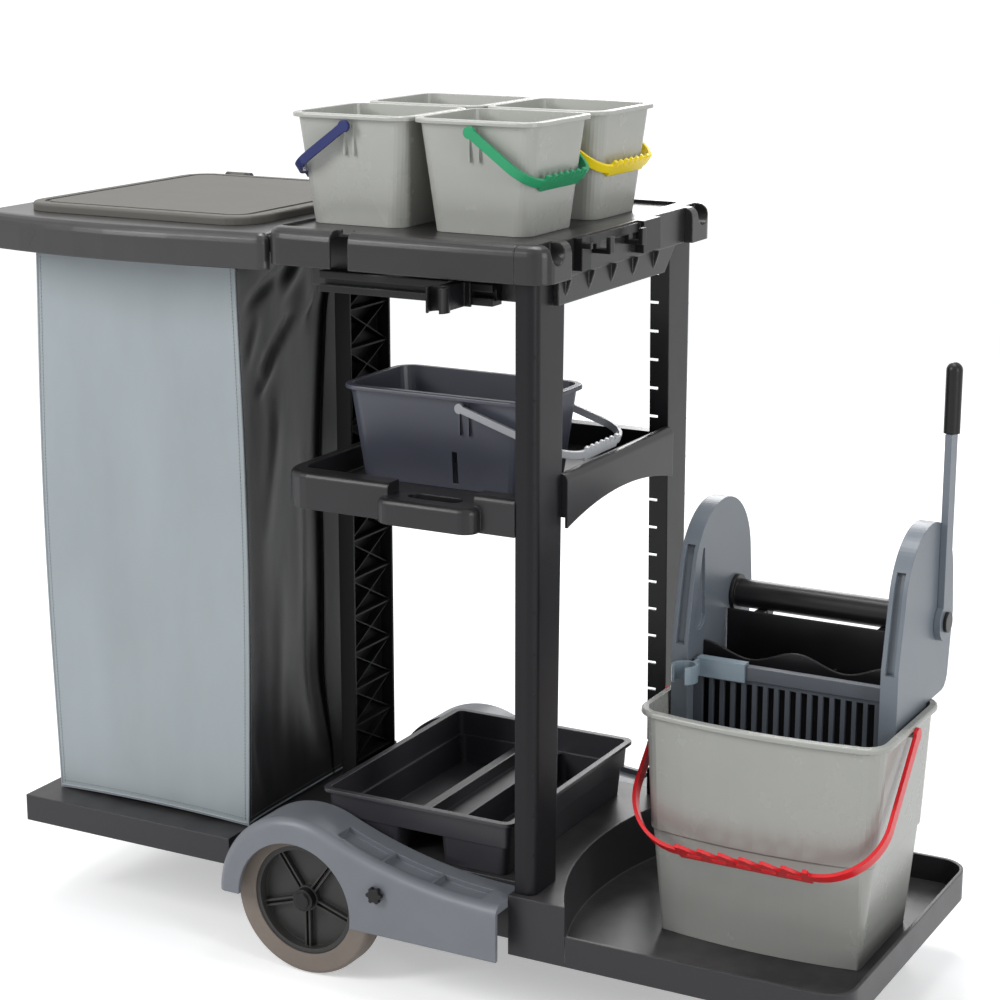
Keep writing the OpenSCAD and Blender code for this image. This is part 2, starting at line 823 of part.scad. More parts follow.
// Bag frame, lid and bag
frame_len = end_x + tower_x0 - seam;
frame_cx = -end_x + frame_len / 2;
frame_w = tray_w - 6;
frame_plan = plan(frame_len, frame_w, 44, frame_bow, 16);
bag_cx = -end_x + bag_in + bag_len / 2;
bag_lap = 12;
grip_d = 22;
hole_l = 32;
hole_w = 300;
lid_cx = tower_x0 - 57 - lid_len / 2;
lid_r = 46;
lid_groove = 16;
hinge_r = pin_d / 2 + 4;
hinge_y = lid_w / 2 + hinge_r + 4;
hinge_z = frame_top + hinge_r + 0.5;
hinge_in = 70;
hinge_xs = [lid_cx - lid_len / 2 + hinge_in, lid_cx + lid_len / 2 - hinge_in];
knuckle = 26;
ear = 9;

module bag_frame() {
    t = tray_wall;
    color(black) {
        difference() {
            translate([frame_cx, 0, 0]) slab(frame_plan, frame_low, frame_top, fascia_r);
            // Hollow underside, open to the tower for its tongues
            translate([frame_cx, 0, 0])
                slab(plan(frame_len - 2 * t, frame_w - 2 * t, frame_plan[2] - t,
                        frame_bow, frame_plan[4] - t),
                    frame_low - cut, frame_top - t, fascia_r - t);
            block([tower_x0 - tongue_l, -frame_w / 2 + fascia_r, frame_low - cut],
                [tower_x0 + cut, frame_w / 2 - fascia_r, frame_top - t]);
            // Mouth of the bag
            translate([bag_cx, 0, frame_top - fascia_h / 2])
                pad(bag_len - 2 * bag_lap, bag_w - 2 * bag_lap, fascia_h, 30);
            // Hand hole behind the push grip
            translate([-end_x + grip_d - 4 + hole_l / 2, 0, frame_top - fascia_h / 2])
                pad(hole_l, hole_w, fascia_h, hole_l / 2 - 1);
        }
        // Push grip along the end of the frame
        translate([-end_x + grip_d / 2 + 1, 0, frame_top - grip_d / 2 - 1])
            bar_y(grip_d, -hole_w / 2 - 10, hole_w / 2 + 10);
        // Hinge ears
        for (x = hinge_xs, s = [-1, 1])
            translate([x + s * (knuckle / 2 + seat + ear / 2) - ear / 2, hinge_y, hinge_z]) difference() {
                union() {
                    bar_x(2 * hinge_r, 0, ear);
                    block([0, -hinge_r, frame_top - hinge_z - 2], [ear, hinge_r, 0]);
                }
                bar_x(pin_d + 2 * run, -cut, ear + cut);
            }
    }
}

module bag_lid() {
    z0 = frame_top + seat;
    g = lid_groove;
    color([0.5, 0.495, 0.47]) {
        difference() {
            translate([lid_cx, 0, 0]) slab(plan(lid_len, lid_w, lid_r), z0, z0 + lid_t, 4);
            // Stepped groove inside the rim
            translate([lid_cx, 0, z0 + lid_t - 2.5]) difference() {
                pad(lid_len - 2 * g, lid_w - 2 * g, lid_t, lid_r - g);
                translate([0, 0, -cut])
                    pad(lid_len - 3 * g, lid_w - 3 * g, lid_t + 2 * cut, lid_r - 1.5 * g);
            }
            // Dished underside
            translate([lid_cx, 0, z0 - cut])
                pad(lid_len - 2 * tray_wall, lid_w - 2 * tray_wall, lid_t - 6 + cut, lid_r - tray_wall);
        }
        for (x = hinge_xs) translate([x, 0, 0]) difference() {
            union() {
                translate([0, hinge_y, hinge_z]) bar_x(2 * hinge_r, -knuckle / 2, knuckle / 2);
                block([-knuckle / 2, lid_w / 2 - 6, hinge_z - 3], [knuckle / 2, hinge_y, hinge_z + 3]);
            }
            translate([0, hinge_y, hinge_z]) bar_x(pin_d + 2 * run, -knuckle, knuckle);
        }
    }
}

module lid_hinge_pins() {
    color(steel)
        for (x = hinge_xs)
            translate([x, hinge_y, hinge_z]) bar_x(pin_d, -knuckle / 2 - ear, knuckle / 2 + ear);
}

// Ring of the bag at a height share; its end panels fold inwards in a long V
bag_steps = 8;
bag_z0 = platform_h + seat;
bag_z1 = frame_top - tray_wall - seat;
function bag_ring(share, inset, z) =
    let (l = bag_len / 2 - inset, w = bag_w / 2 - inset,
        f = 4 + bag_fold * sin(180 * pow(share, 0.7)) + inset * 0.4, g = f * 0.35)
    [[l, -w, z], [l - g, -w / 2, z], [l - f, 0, z], [l - g, w / 2, z], [l, w, z],
        [-l, w, z], [-l + g, w / 2, z], [-l + f, 0, z], [-l + g, -w / 2, z], [-l, -w, z]];

module waste_bag() {
    shares = [for (i = [0:bag_steps]) i / bag_steps];
    rise = bag_z1 - bag_z0;
    outside = [for (k = shares) bag_ring(k, 0, rise * k)];
    inside = [for (k = shares) bag_ring(1 - k, bag_wall, rise - (rise - bag_wall) * k)];
    color([0.58, 0.62, 0.64]) translate([bag_cx, 0, bag_z0]) skin(concat(outside, inside), true);
}

// Middle shelf with a hand grip in each long lip and a raised, arched right end
shelf_x0 = column_x1 + seat;
shelf_x1 = post_x + post_t + 9;
shelf_cx = (shelf_x0 + shelf_x1) / 2;
shelf_len = shelf_x1 - shelf_x0;
shelf_w = 2 * post_face + 4;
shelf_low = shelf_h - shelf_skirt;
shelf_lip = 30;
hand_rim = 17;
hand_d = 44;
hand_x = post_x - 50 - grip_len / 2;
shelf_r = 44;
end_t = 20;
arch_h = 22;
post_inner = post_face - post_top - seat;

module middle_shelf() {
    rim_z1 = shelf_h + shelf_rim;
    inner = post_face - post_depth(shelf_h + shelf_end) - seat;
    arch_l = 2 * inner;
    arch_rad = (arch_l * arch_l / 4 + arch_h * arch_h) / (2 * arch_h);
    color(black) difference() {
        union() {
            translate([shelf_cx, 0, 0])
                slab(plan(shelf_len, shelf_w, shelf_r, 0, 14), shelf_low, rim_z1, 8);
            // Raised right end with a round top
            block([shelf_x1 - end_t, -inner, shelf_low],
                [shelf_x1, inner, shelf_h + shelf_end - end_t / 2]);
            translate([shelf_x1 - end_t / 2, 0, shelf_h + shelf_end - end_t / 2])
                bar_y(end_t, -inner, inner);
            translate([hand_x, -shelf_w / 2 - 2, 0])
                slab(plan(grip_len, hand_d, hand_d / 2 - 1), shelf_low, shelf_h + hand_rim, 8, 4);
        }
        // Tray well
        translate([shelf_cx, 0, shelf_h])
            pad(shelf_len - 2 * end_t, shelf_w - 2 * shelf_lip, shelf_end + 20, 14);
        // Lower rim at the hand grip, and its recess
        translate([hand_x, -shelf_w / 2, shelf_h + hand_rim]) pad(grip_len - 20, 4 * shelf_lip, 40, 8);
        translate([hand_x, -shelf_w / 2 + hand_d / 3, shelf_h + 2]) pad(grip_len - 70, 26, 40, 12.9);
        // Room for the posts
        both()
            block([post_x - seat, -shelf_w, shelf_low - cut], [shelf_x1 + cut, -inner, rim_z1 + cut]);
        // Hollow underside
        translate([shelf_cx, 0, shelf_low - cut])
            pad(shelf_len - 2 * tray_wall, shelf_w - 2 * tray_wall,
                shelf_skirt - tray_wall + cut, shelf_r - tray_wall);
        // Arched lower edge of the right end
        translate([0, 0, shelf_low + arch_h - arch_rad])
            bar_x(2 * arch_rad, shelf_x1 - 2 * end_t, shelf_x1 + cut, $fn = 120);
    }
}

// Base tray with two wells, standing on the deck
btray_x = 22;
btray_y = -cover_in - 6 + btray_w / 2;
btray_lip = 6;
btray_rim = 5;
divider_drop = 18;
module base_tray() {
    w = bucket_wall;
    skirt_l = btray_l - 2 * btray_lip;
    skirt_w = btray_w - 2 * btray_lip;
    well_l = (skirt_l - well_gap) / 2 - 6;
    well_w = skirt_w - 10;
    well_x = (well_gap + well_l) / 2;
    skirt = plan(skirt_l, skirt_w, 12);
    well = plan(well_l, well_w, 14);
    color(soft_black) translate([btray_x, btray_y, deck_h + seat]) difference() {
        union() {
            translate([0, 0, btray_h - btray_rim]) pad(btray_l, btray_w, btray_rim, 14);
            skin([ring(skirt, -3, well_h), ring(skirt, 0, btray_h - cut)]);
            for (s = [-1, 1])
                translate([s * well_x, 0, 0]) skin([ring(well, -4, 0), ring(well, 0, well_h + cut)]);
        }
        difference() {
            skin([ring(skirt, -3 - w, well_h + w), ring(skirt, -w, btray_h + cut)]);
            // Divider between the two halves
            block([-w / 2, -btray_w, 0], [w / 2, btray_w, btray_h - divider_drop]);
        }
        for (s = [-1, 1])
            translate([s * well_x, 0, 0]) skin([ring(well, -4 - w, w), ring(well, -w, well_h + 2 * w)]);
    }
}

// Large wheels on one steel axle
axle_end = tyre_y - 4;
module wheel_axle() {
    color(steel) translate([wheel_x, 0, wheel_r]) bar_y(axle_d, -axle_end, axle_end);
}

// Frame of a wheel: its outer face at zero height, inwards upwards
module at_wheel() {
    translate([wheel_x, -tyre_y, wheel_r]) rotate([-90, 0, 0]) children();
}

rim_r = wheel_r - tyre_h;
tyre_round = 7;
rim_t = 7;
disc_t = 4;
hub_r = axle_d / 2 + 10;
hub_in = 9;
spoke_t = 3;
module tyre() {
    r = tyre_round;
    at_wheel() rotate_extrude($fn = 96) {
        translate([rim_r, 0]) square([tyre_h - r, tyre_w]);
        translate([rim_r, r]) square([tyre_h, tyre_w - 2 * r]);
        for (y = [r, tyre_w - r]) translate([wheel_r - r, y]) circle(r);
    }
}

module wheel_rim() {
    mid = tyre_w / 2;
    at_wheel() difference() {
        union() {
            rotate_extrude($fn = 96) {
                translate([rim_r - rim_t, 2]) square([rim_t - seat, tyre_w - 4]);
                translate([hub_r - 2, mid - disc_t / 2]) square([rim_r - hub_r - rim_t / 2, disc_t]);
                translate([0, hub_in]) square([hub_r, tyre_w - hub_in + 3]);
            }
            // Spokes stand on the disc as pairs of thin ribs
            for (i = [0:spokes - 1], s = [-1, 1])
                rotate(360 / spokes * i + 18) translate([0, s * (spoke_t / 2 + 2), 0])
                    block([hub_r - 2, -spoke_t / 2, hub_in + 1], [rim_r - rim_t / 2, spoke_t / 2, mid]);
        }
        translate([0, 0, -cut]) cylinder(d = axle_d + 2 * run, h = 2 * tyre_w);
    }
}

module hub_cap() {
    at_wheel() difference() {
        union() {
            translate([0, 0, -2]) cylinder(r = hub_r - 2, h = hub_in + 2 - seat, $fn = 64);
            translate([0, 0, -5]) cylinder(r = hub_r - 7, h = 4);
        }
        translate([0, 0, tyre_y - axle_end - 0.5]) cylinder(r = axle_d / 2 + 0.6, h = tyre_w);
    }
}

module front_wheel_rim() {
    color(rim_grey) wheel_rim();
}

module front_tyre() {
    color(tyre_grey) tyre();
}

module front_hub_cap() {
    color(black) hub_cap();
}

module rear_wheel_rim() {
    color(rim_grey) rear() wheel_rim();
}

module rear_tyre() {
    color(tyre_grey) rear() tyre();
}

module rear_hub_cap() {
    color(black) rear() hub_cap();
}

// Swivel casters below the mop bay
caster_x = end_x - caster_in;
caster_top = bay_h - deck_wall - seat;
caster_r = caster_d / 2;
caster_pin = 8;
tread_t = 9;
fork_gap = caster_w + 4;
fork_t = 4;
crown_t = 6;
crown_d = 46;
king_d = 12;
plate_t = 4;
plate_l = 74;
plate_w = 62;
boss_h = 5.5;
fork_top = caster_top - plate_t - boss_h - seat;

module at_caster() {
    translate([caster_x, -caster_gap / 2, 0]) children();
}

module caster_plate() {
    at_caster() translate([0, 0, caster_top - plate_t]) difference() {
        union() {
            pad(plate_l, plate_w, plate_t, 8);
            translate([0, 0, -boss_h]) cylinder(d = crown_d - 6, h = boss_h + cut);
            translate([0, 0, -boss_h - seat - crown_t + cut]) cylinder(d = king_d, h = crown_t + boss_h);
        }
        for (sx = [-1, 1], sy = [-1, 1])
            translate([sx * (plate_l / 2 - 9), sy * (plate_w / 2 - 8), -cut])
                cylinder(d = 8.4, h = plate_t + 2 * cut);
    }
}

module caster_fork() {
    at_caster() difference() {
        union() {
            translate([0, 0, fork_top - crown_t]) cylinder(d = crown_d, h = crown_t);
            block([-trail - 8, -fork_gap / 2 - fork_t, fork_top - crown_t],
                [6, fork_gap / 2 + fork_t, fork_top]);
            both() translate([0, -fork_gap / 2, 0]) rotate([90, 0, 0]) linear_extrude(fork_t)
                polygon([[-trail - 8, fork_top], [18, fork_top], [-trail + 11, caster_r - 4],
                    [-trail, caster_r - 12], [-trail - 11, caster_r - 4]]);
        }
        translate([0, 0, fork_top - crown_t - cut]) cylinder(d = king_d + 2 * run, h = crown_t + 2 * cut);
        translate([-trail, 0, caster_r]) bar_y(caster_pin + 2 * run, -fork_gap, fork_gap);
    }
}

module caster_bolt() {
    out = fork_gap / 2 + fork_t + seat;
    at_caster() translate([-trail, 0, caster_r]) {
        bar_y(caster_pin, -out - 1, out + 1);
        both() bar_y(14, -out - 4, -out, $fn = 6);
    }
}

module caster_wheel() {
    at_caster() translate([-trail, 0, caster_r]) rotate([90, 0, 0]) difference() {
        union() {
            cylinder(r = caster_r - tread_t - seat, h = caster_w - 8, center = true);
            cylinder(r = 11, h = caster_w + 2, center = true);
        }
        cylinder(d = caster_pin + 2 * run, h = caster_w * 2, center = true);
    }
}

module caster_tread() {
    e = 4;
    at_caster() translate([-trail, 0, caster_r]) rotate([90, 0, 0]) rotate_extrude() {
        translate([caster_r - tread_t, -caster_w / 2]) square([tread_t - e, caster_w]);
        translate([caster_r - tread_t, -caster_w / 2 + e]) square([tread_t, caster_w - 2 * e]);
        for (s = [-1, 1]) translate([caster_r - e, s * (caster_w / 2 - e)]) circle(e);
    }
}

module front_caster_plate() {
    color(steel) caster_plate();
}

module front_caster_fork() {
    color(steel) caster_fork();
}

module front_caster_bolt() {
    color(steel) caster_bolt();
}

module front_caster_wheel() {
    color(black) caster_wheel();
}

module front_caster_tread() {
    color(tread_grey) caster_tread();
}

module rear_caster_plate() {
    color(steel) rear() caster_plate();
}

module rear_caster_fork() {
    color(steel) rear() caster_fork();
}

module rear_caster_bolt() {
    color(steel) rear() caster_bolt();
}

module rear_caster_wheel() {
    color(black) rear() caster_wheel();
}

module rear_caster_tread() {
    color(tread_grey) rear() caster_tread();
}

// Buckets: drafted walls, an overhanging rim and two pegs for the bail
peg_drop = 15;
eye_skin = 1.2;
arm_gap = 0.5;
rim_t1 = 6;

// Peg on the front side of a bucket whose rim ends at a given half width
module peg(half) {
    bar_y(peg_d, -half - arm_gap - bail_t + eye_skin + seat, -half + bucket_flange + bucket_wall + cut);
}

module bucket(l, w, h, draft, r, peg_x) {
    f = bucket_flange;
    b = bucket_wall;
    top = plan(l - 2 * f, w - 2 * f, r);
    foot = plan(l - 2 * f - 2 * draft, w - 2 * f - 2 * draft, r);
    difference() {
        union() {
            skin([ring(foot, 0, 0), ring(top, 0, h - cut)]);
            slab(plan(l, w, r + f), h - rim_t1, h, 2.5);
            both() {
                // Rib pair below the peg
                for (x = [-7, 7])
                    translate([peg_x + x, -w / 2 + f + draft / 4, h - 30]) cube([3, 6, 48], center = true);
                translate([peg_x, 0, h - peg_drop]) peg(w / 2);
            }
        }
        skin([ring(foot, -b, b), ring(top, -b, h + cut)]);
    }
}

// Bail in its own plane: arms along x, grip across y, a toothed grip edge
module bail(w, reach, arm, grip, r) {
    t = bail_t;
    half = w / 2 + arm_gap;
    teeth = 6;
    pitch = (2 * half - 2 * r) / teeth;
    difference() {
        union() {
            both() {
                block([0, -half - t, -arm / 2], [reach - r, -half, arm / 2]);
                bar_y(arm + 4, -half - t, -half);
                translate([reach - r, r - half - t, -arm / 2]) intersection() {
                    difference() {
                        cylinder(r = r, h = arm);
                        translate([0, 0, -cut]) cylinder(r = r - t, h = arm + 2 * cut);
                    }
                    translate([0, -r, 0]) cube([r, r, arm]);
                }
            }
            block([reach - t, r - half - t, -grip / 2], [reach, half + t - r, grip / 2]);
        }
        // Blind eyes for the pegs
        both() bar_y(peg_d + 2 * run, -half - t + eye_skin, -half + cut);
        for (i = [0:teeth - 1])
            translate([reach - t - cut, r - half + (i + 0.5) * pitch, grip / 2]) rotate([90, 0, 90])
                linear_extrude(t + 2 * cut)
                    polygon([[-pitch / 2 + 2, cut], [pitch / 2 - 2, cut], [pitch / 2 - 6, -grip * 0.42]]);
    }
}

// Small buckets in two rows of two on the top tray
small_draft = 15;
small_r = 20;
small_reach = small_l / 2 + 17;
function small_place(sx, sy) = [small_x + sx * (small_l + small_gap_x) / 2,
    small_y + sy * (small_w + small_gap_y) / 2, tray_floor + seat];

module small_bucket(sx, sy) {
    color(light_grey) translate(small_place(sx, sy))
        bucket(small_l, small_w, small_h, small_draft, small_r, 0);
}

module small_bail(sx, sy, tint) {
    color(tint) translate(small_place(sx, sy) + [0, 0, small_h - peg_drop])
        rotate([0, 0, sx < 0 ? 180 : 0]) rotate([0, bail_droop, 0])
            bail(small_w, small_reach, 12, 24, 40);
}

module bucket_front_left() {
    small_bucket(-1, -1);
}

module bail_front_left() {
    small_bail(-1, -1, [0.12, 0.16, 0.4]);
}

module bucket_front_right() {
    small_bucket(1, -1);
}

module bail_front_right() {
    small_bail(1, -1, [0.2, 0.62, 0.42]);
}

module bucket_rear_left() {
    small_bucket(-1, 1);
}

module bail_rear_left() {
    small_bail(-1, 1, [0.75, 0.1, 0.13]);
}

module bucket_rear_right() {
    small_bucket(1, 1);
}

module bail_rear_right() {
    small_bail(1, 1, [0.96, 0.85, 0.1]);
}

// Shelf bucket, with its pegs off centre
shelfb_place = [10, -44, shelf_h + seat];
shelfb_peg_x = 45;
shelfb_reach = 176;
shelfb_droop = 17.5;
shelfb_slot_x = 26;
module shelf_bucket() {
    color(slate) translate(shelfb_place) difference() {
        bucket(shelfb_l, shelfb_w, shelfb_h, 14, 24, shelfb_peg_x);
        // Slot low in the front and rear walls
        both() translate([shelfb_slot_x, -shelfb_w / 2, 30]) cube([8, 60, 45], center = true);
    }
}

module shelf_bucket_bail() {
    color([0.6, 0.61, 0.62]) translate(shelfb_place + [shelfb_peg_x, 0, shelfb_h - peg_drop])
        rotate([0, shelfb_droop, 0]) bail(shelfb_w, shelfb_reach, 10, 18, 46);
}

// Mop bucket; its long front and rear walls bow outwards
mop_x = end_x - 10 - mop_l / 2;
mop_y = 3;
mop_place = [mop_x, mop_y, bay_h + seat];
mop_bow = 12;
mop_r = 38;
mop_rim = 8;
mop_step = 3;
mop_step_z = mop_h * 0.46;
mop_peg_z = mop_h - 14;
mop_plan = plan(mop_l, mop_w - 2 * mop_bow, mop_r, mop_bow);

// Rings of the bucket's wall from foot to rim, moved inwards by a margin
function mop_wall(in, z0, z1) =
    let (f = -bucket_flange - in)
    [ring(mop_plan, f - mop_draft, z0), ring(mop_plan, f - mop_draft * 0.35 - mop_step, mop_step_z),
        ring(mop_plan, f - mop_draft * 0.35, mop_step_z + mop_step), ring(mop_plan, f, z1)];

module mop_bucket() {
    color(light_grey) translate(mop_place) difference() {
        union() {
            skin(mop_wall(0, 0, mop_h - cut));
            slab(mop_plan, mop_h - mop_rim, mop_h, 3, 2);
            // Pegs for the bail at both ends
            translate([0, 0, mop_peg_z]) rotate([0, 0, 90]) both() peg(mop_l / 2);
        }
        skin(mop_wall(bucket_wall, bucket_wall, mop_h + cut));
    }
}

// Slotted bail of the mop bucket
mop_bail_r = 88;
mop_grip = 34;
mop_slots = 5;
module mop_bucket_bail() {
    span = mop_l - 2 * mop_bail_r;
    pitch = span / mop_slots;
    color([0.78, 0.1, 0.14]) translate(mop_place + [0, 0, mop_peg_z])
        rotate([0, 0, -90]) rotate([0, mop_droop, 0]) difference() {
            bail(mop_l, mop_reach, 17, mop_grip, mop_bail_r);
            for (i = [0:mop_slots - 1])
                translate([mop_reach - bail_t - cut, -span / 2 + (i + 0.5) * pitch, -4]) rotate([90, 0, 90])
                    pad(pitch - 10, 12, bail_t + 2 * cut, 5.9);
        }
}

// Wringer: two panels with a basket, a press shaft and a press body between them
rim_z = bay_h + seat + mop_h;
panel_in = 5.5;
panel_x0 = mop_x - mop_l / 2 + bucket_flange + bucket_wall + panel_in;
panel_x1 = panel_x0 + panel_t;
mop_mid = 2 * mop_x;
basket_x0 = panel_x1 + seat;
basket_x1 = mop_mid - basket_x0;
panel_y0 = mop_y - 32;
panel_r = panel_w / 2 - 12;
head_y = panel_y0 + panel_w / 2 + 6;
wringer_low = rim_z - 78;
tongue_end = mop_y + 89;
shaft_y = panel_y0 + 162;
shaft_z = rim_z + 105;
journal_d = shaft_d * 0.7;
grille_y = panel_y0 + 21;
grille_t = 6;
rail_top = rim_z + 48;
rail_t = 19;
press_y = grille_y + 30;
press_d = 80;
press_wall = 4;
pivot_d = 10;
pivot_y = press_y + 40;
pivot_z = wringer_low + 14;
pivot_l = 9;
follower_x = 90;
follower_t = 14;
follower_in = 15.5;

// Panel outline: a broad head that rests on the rear rim, and a tongue down into the bucket
module panel_outline() {
    foot_r = 12;
    z = rim_z + seat + foot_r;
    hull() {
        translate([head_y, rim_z + wringer_h - panel_r]) circle(panel_r, $fn = 96);
        translate([panel_y0 + foot_r, shaft_z - 30]) circle(foot_r, $fn = 32);
        translate([panel_y0 + foot_r, z]) circle(foot_r, $fn = 32);
        translate([panel_y0 + panel_w - 3 * foot_r, z + foot_r]) circle(2 * foot_r, $fn = 48);
        translate([panel_y0 + panel_w - 3 * foot_r, shaft_z]) circle(3 * foot_r, $fn = 48);
    }
    translate([panel_y0, wringer_low]) square([tongue_end - panel_y0, z - wringer_low]);
}

module wringer_panel() {
    groove_side = 6;
    groove_deep = 8;
    groove_l = 132;
    difference() {
        plate_x(panel_x0, panel_t) panel_outline();
        // Teardrop recess in the inner face
        plate_x(panel_x1 - 5, panel_t) hull() {
            translate([panel_y0 + 48, shaft_z + 88]) circle(3, $fn = 24);
            translate([panel_y0 + 39, shaft_z - 4]) circle(17, $fn = 48);
        }
        // Long groove in the front edge
        plate_x(panel_x0 + groove_side, panel_t - 2 * groove_side) difference() {
            translate([panel_y0 - cut, shaft_z - 34]) square([panel_w / 2, groove_l]);
            translate([groove_deep, 0]) panel_outline();
        }
        translate([0, shaft_y, shaft_z]) bar_x(journal_d + 2 * run, panel_x0 - cut, panel_x1 + cut);
        translate([0, pivot_y, pivot_z]) bar_x(pivot_d + 2 * run, panel_x1 - pivot_l - cut, panel_x1 + cut);
    }
}

module mirror_mop() {
    translate([mop_mid, 0, 0]) mirror([1, 0, 0]) children();
}

module wringer_left_panel() {
    color(wringer_grey) wringer_panel();
}

module wringer_right_panel() {
    color(wringer_grey) mirror_mop() wringer_panel();
}

module wringer_basket() {
    edge = 10;
    pitch = (basket_x1 - basket_x0 - 2 * edge) / grille_slots;
    slot_w = pitch * 0.6;
    y0 = grille_y;
    color(wringer_grey) {
        difference() {
            block([basket_x0, y0, wringer_low + 4], [basket_x1, y0 + grille_t, rail_top - cut]);
            for (i = [0:grille_slots - 1])
                translate([basket_x0 + edge + (i + 0.5) * pitch, 0, 0])
                    block([-slot_w / 2, y0 - cut, wringer_low + 12],
                        [slot_w / 2, y0 + grille_t + cut, rim_z + 22]);
        }
        block([basket_x0, y0 - 5, rail_top - rail_t], [basket_x1, y0 + grille_t + 1, rail_top]);
        block([basket_x0, y0, wringer_low + 4], [basket_x1, press_y - 6, wringer_low + 8]);
    }
}

// Bracket over the basket rail, with an open hook for a handle in front of the panel
bracket_t = 4;
bracket_l = 70;
hook_r = 14;
module rim_bracket() {
    t = bracket_t;
    top = rail_top + seat + t;
    z0 = top - 26;
    front = grille_y - 5 - seat;
    x0 = panel_x1 + 8;
    hook_x = panel_x1 + 4;
    hook_y = panel_y0 - seat - hook_r - t;
    color([0.5, 0.55, 0.6]) {
        block([x0, front - t, z0], [x0 + bracket_l, front, top]);
        block([x0, front - t, rail_top + seat], [x0 + bracket_l, grille_y + grille_t, top]);
        block([x0, hook_y + hook_r, z0], [x0 + t, front, top - 2]);
        translate([hook_x, hook_y, z0]) difference() {
            cylinder(r = hook_r + t, h = top - 2 - z0);
            translate([0, 0, -cut]) cylinder(r = hook_r, h = top - z0 + 2 * cut);
            translate([-2, -hook_r, (top - z0) / 2])
                cube([hook_r * 1.3, 2 * hook_r, 2 * hook_r + t], center = true);
        }
    }
}

// Press shaft with two cams that push the press body's followers
cam_throw = 32;
cam_r = 8;
collar_d = shaft_d + 12;
collar_t = 6;
module press_shaft() {
    color(black) translate([0, shaft_y, shaft_z]) {
        bar_x(journal_d, panel_x0 - 4, mop_mid - panel_x0 + 14);
        bar_x(shaft_d, panel_x1 + 1, mop_mid - panel_x1 - 1);
        bar_x(collar_d, panel_x1 + 1, panel_x1 + collar_t);
        bar_x(collar_d, mop_mid - panel_x1 - collar_t, mop_mid - panel_x1 - 1);
        for (s = [-1, 1])
            plate_x(mop_x + s * follower_x - follower_t / 2, follower_t) {
                polygon([[-shaft_d / 2 + 2, 0], [shaft_d / 2 - 2, 0],
                    [cam_r, -cam_throw], [-cam_r, -cam_throw]]);
                translate([0, -cam_throw]) circle(cam_r);
            }
    }
}

lever_x = mop_mid - panel_x0 + seat;
lever_t = 9;
lever_w = 26;
lever_arm = lever_len - 100;
spigot_d = 8;
grip_l = 84;
grip_r = 11;
module press_lever() {
    color(wringer_grey) difference() {
        union() {
            translate([0, shaft_y, shaft_z]) {
                bar_x(2 * lever_w, lever_x, lever_x + lever_t);
                block([lever_x, -lever_w / 2, 0], [lever_x + lever_t, lever_w / 2, lever_arm]);
            }
            translate([lever_x + lever_t / 2, shaft_y, shaft_z + lever_arm - cut])
                cylinder(d = spigot_d, h = grip_l / 2);
        }
        translate([0, shaft_y, shaft_z]) bar_x(journal_d + 2 * run, lever_x - cut, lever_x + lever_t + cut);
    }
}

module lever_grip() {
    color(black) translate([lever_x + lever_t / 2, shaft_y, shaft_z + lever_arm + seat]) difference() {
        union() {
            cylinder(r = grip_r, h = grip_l);
            translate([0, 0, grip_l]) sphere(r = grip_r);
        }
        translate([0, 0, -cut]) cylinder(d = spigot_d + 2 * run, h = grip_l / 2 + cut);
    }
}

// Press body on its lower pivots: a front plate with a waved edge, ribs, a back wall and two followers
press_ribs = 6;
press_wave = 9;
wave_n = 32;
module press_plate() {
    x0 = basket_x0 + 1;
    x1 = basket_x1 - 1;
    w = press_wall;
    low = pivot_z - 6;
    wave_z = rim_z + 56;
    back_z = shaft_z - 16;
    back_y = press_y + press_d;
    rib_gap = (x1 - x0 - rib_t) / (press_ribs - 1);
    face = shaft_y - follower_in;
    color(black) {
        // Front plate with two waves along its upper edge
        translate([0, press_y + w, 0]) rotate([90, 0, 0]) linear_extrude(w)
            polygon(concat([[x0, low], [x1, low]],
                [for (i = [0:wave_n]) let (t = 1 - i / wave_n)
                    [x0 + (x1 - x0) * t, wave_z + press_wave * cos(720 * t)]]));
        // Back wall and the ribs that join it to the front plate
        block([x0, back_y, rim_z + 6], [x1, back_y + w, back_z]);
        for (i = [0:press_ribs - 1])
            plate_x(x0 + i * rib_gap, rib_t)
                polygon([[press_y + 1, low], [pivot_y + pivot_d, low], [back_y + 1, rim_z + 8],
                    [back_y + 1, rim_z + 24], [press_y + 1, rim_z + 36]]);
        translate([0, pivot_y, pivot_z]) bar_x(pivot_d, panel_x1 - pivot_l, mop_mid - panel_x1 + pivot_l);
        for (s = [-1, 1])
            translate([mop_x + s * follower_x - follower_t / 2, 0, 0])
                block([0, back_y + 1, shaft_z - cam_throw - 14], [follower_t, face, back_z]);
    }
}

base_deck();
front_wheel_cover();
rear_wheel_cover();
cover_knobs();
front_right_post();
rear_right_post();
centre_column();
top_tray();
front_corner_cap();
rear_corner_cap();
hook_rail();
front_clip_rail();
rear_clip_rail();
front_mop_clip();
rear_mop_clip();
bag_frame();
bag_lid();
lid_hinge_pins();
middle_shelf();
waste_bag();
base_tray();
wheel_axle();
front_wheel_rim();
front_tyre();
front_hub_cap();
rear_wheel_rim();
rear_tyre();
rear_hub_cap();
front_caster_plate();
front_caster_fork();
front_caster_bolt();
front_caster_wheel();
front_caster_tread();
rear_caster_plate();
rear_caster_fork();
rear_caster_bolt();
rear_caster_wheel();
rear_caster_tread();
bucket_front_left();
bail_front_left();
bucket_front_right();
bail_front_right();
bucket_rear_left();
bail_rear_left();
bucket_rear_right();
bail_rear_right();
shelf_bucket();
shelf_bucket_bail();
mop_bucket();
mop_bucket_bail();
wringer_left_panel();
wringer_right_panel();
wringer_basket();
rim_bracket();
press_shaft();
press_lever();
lever_grip();
press_plate();
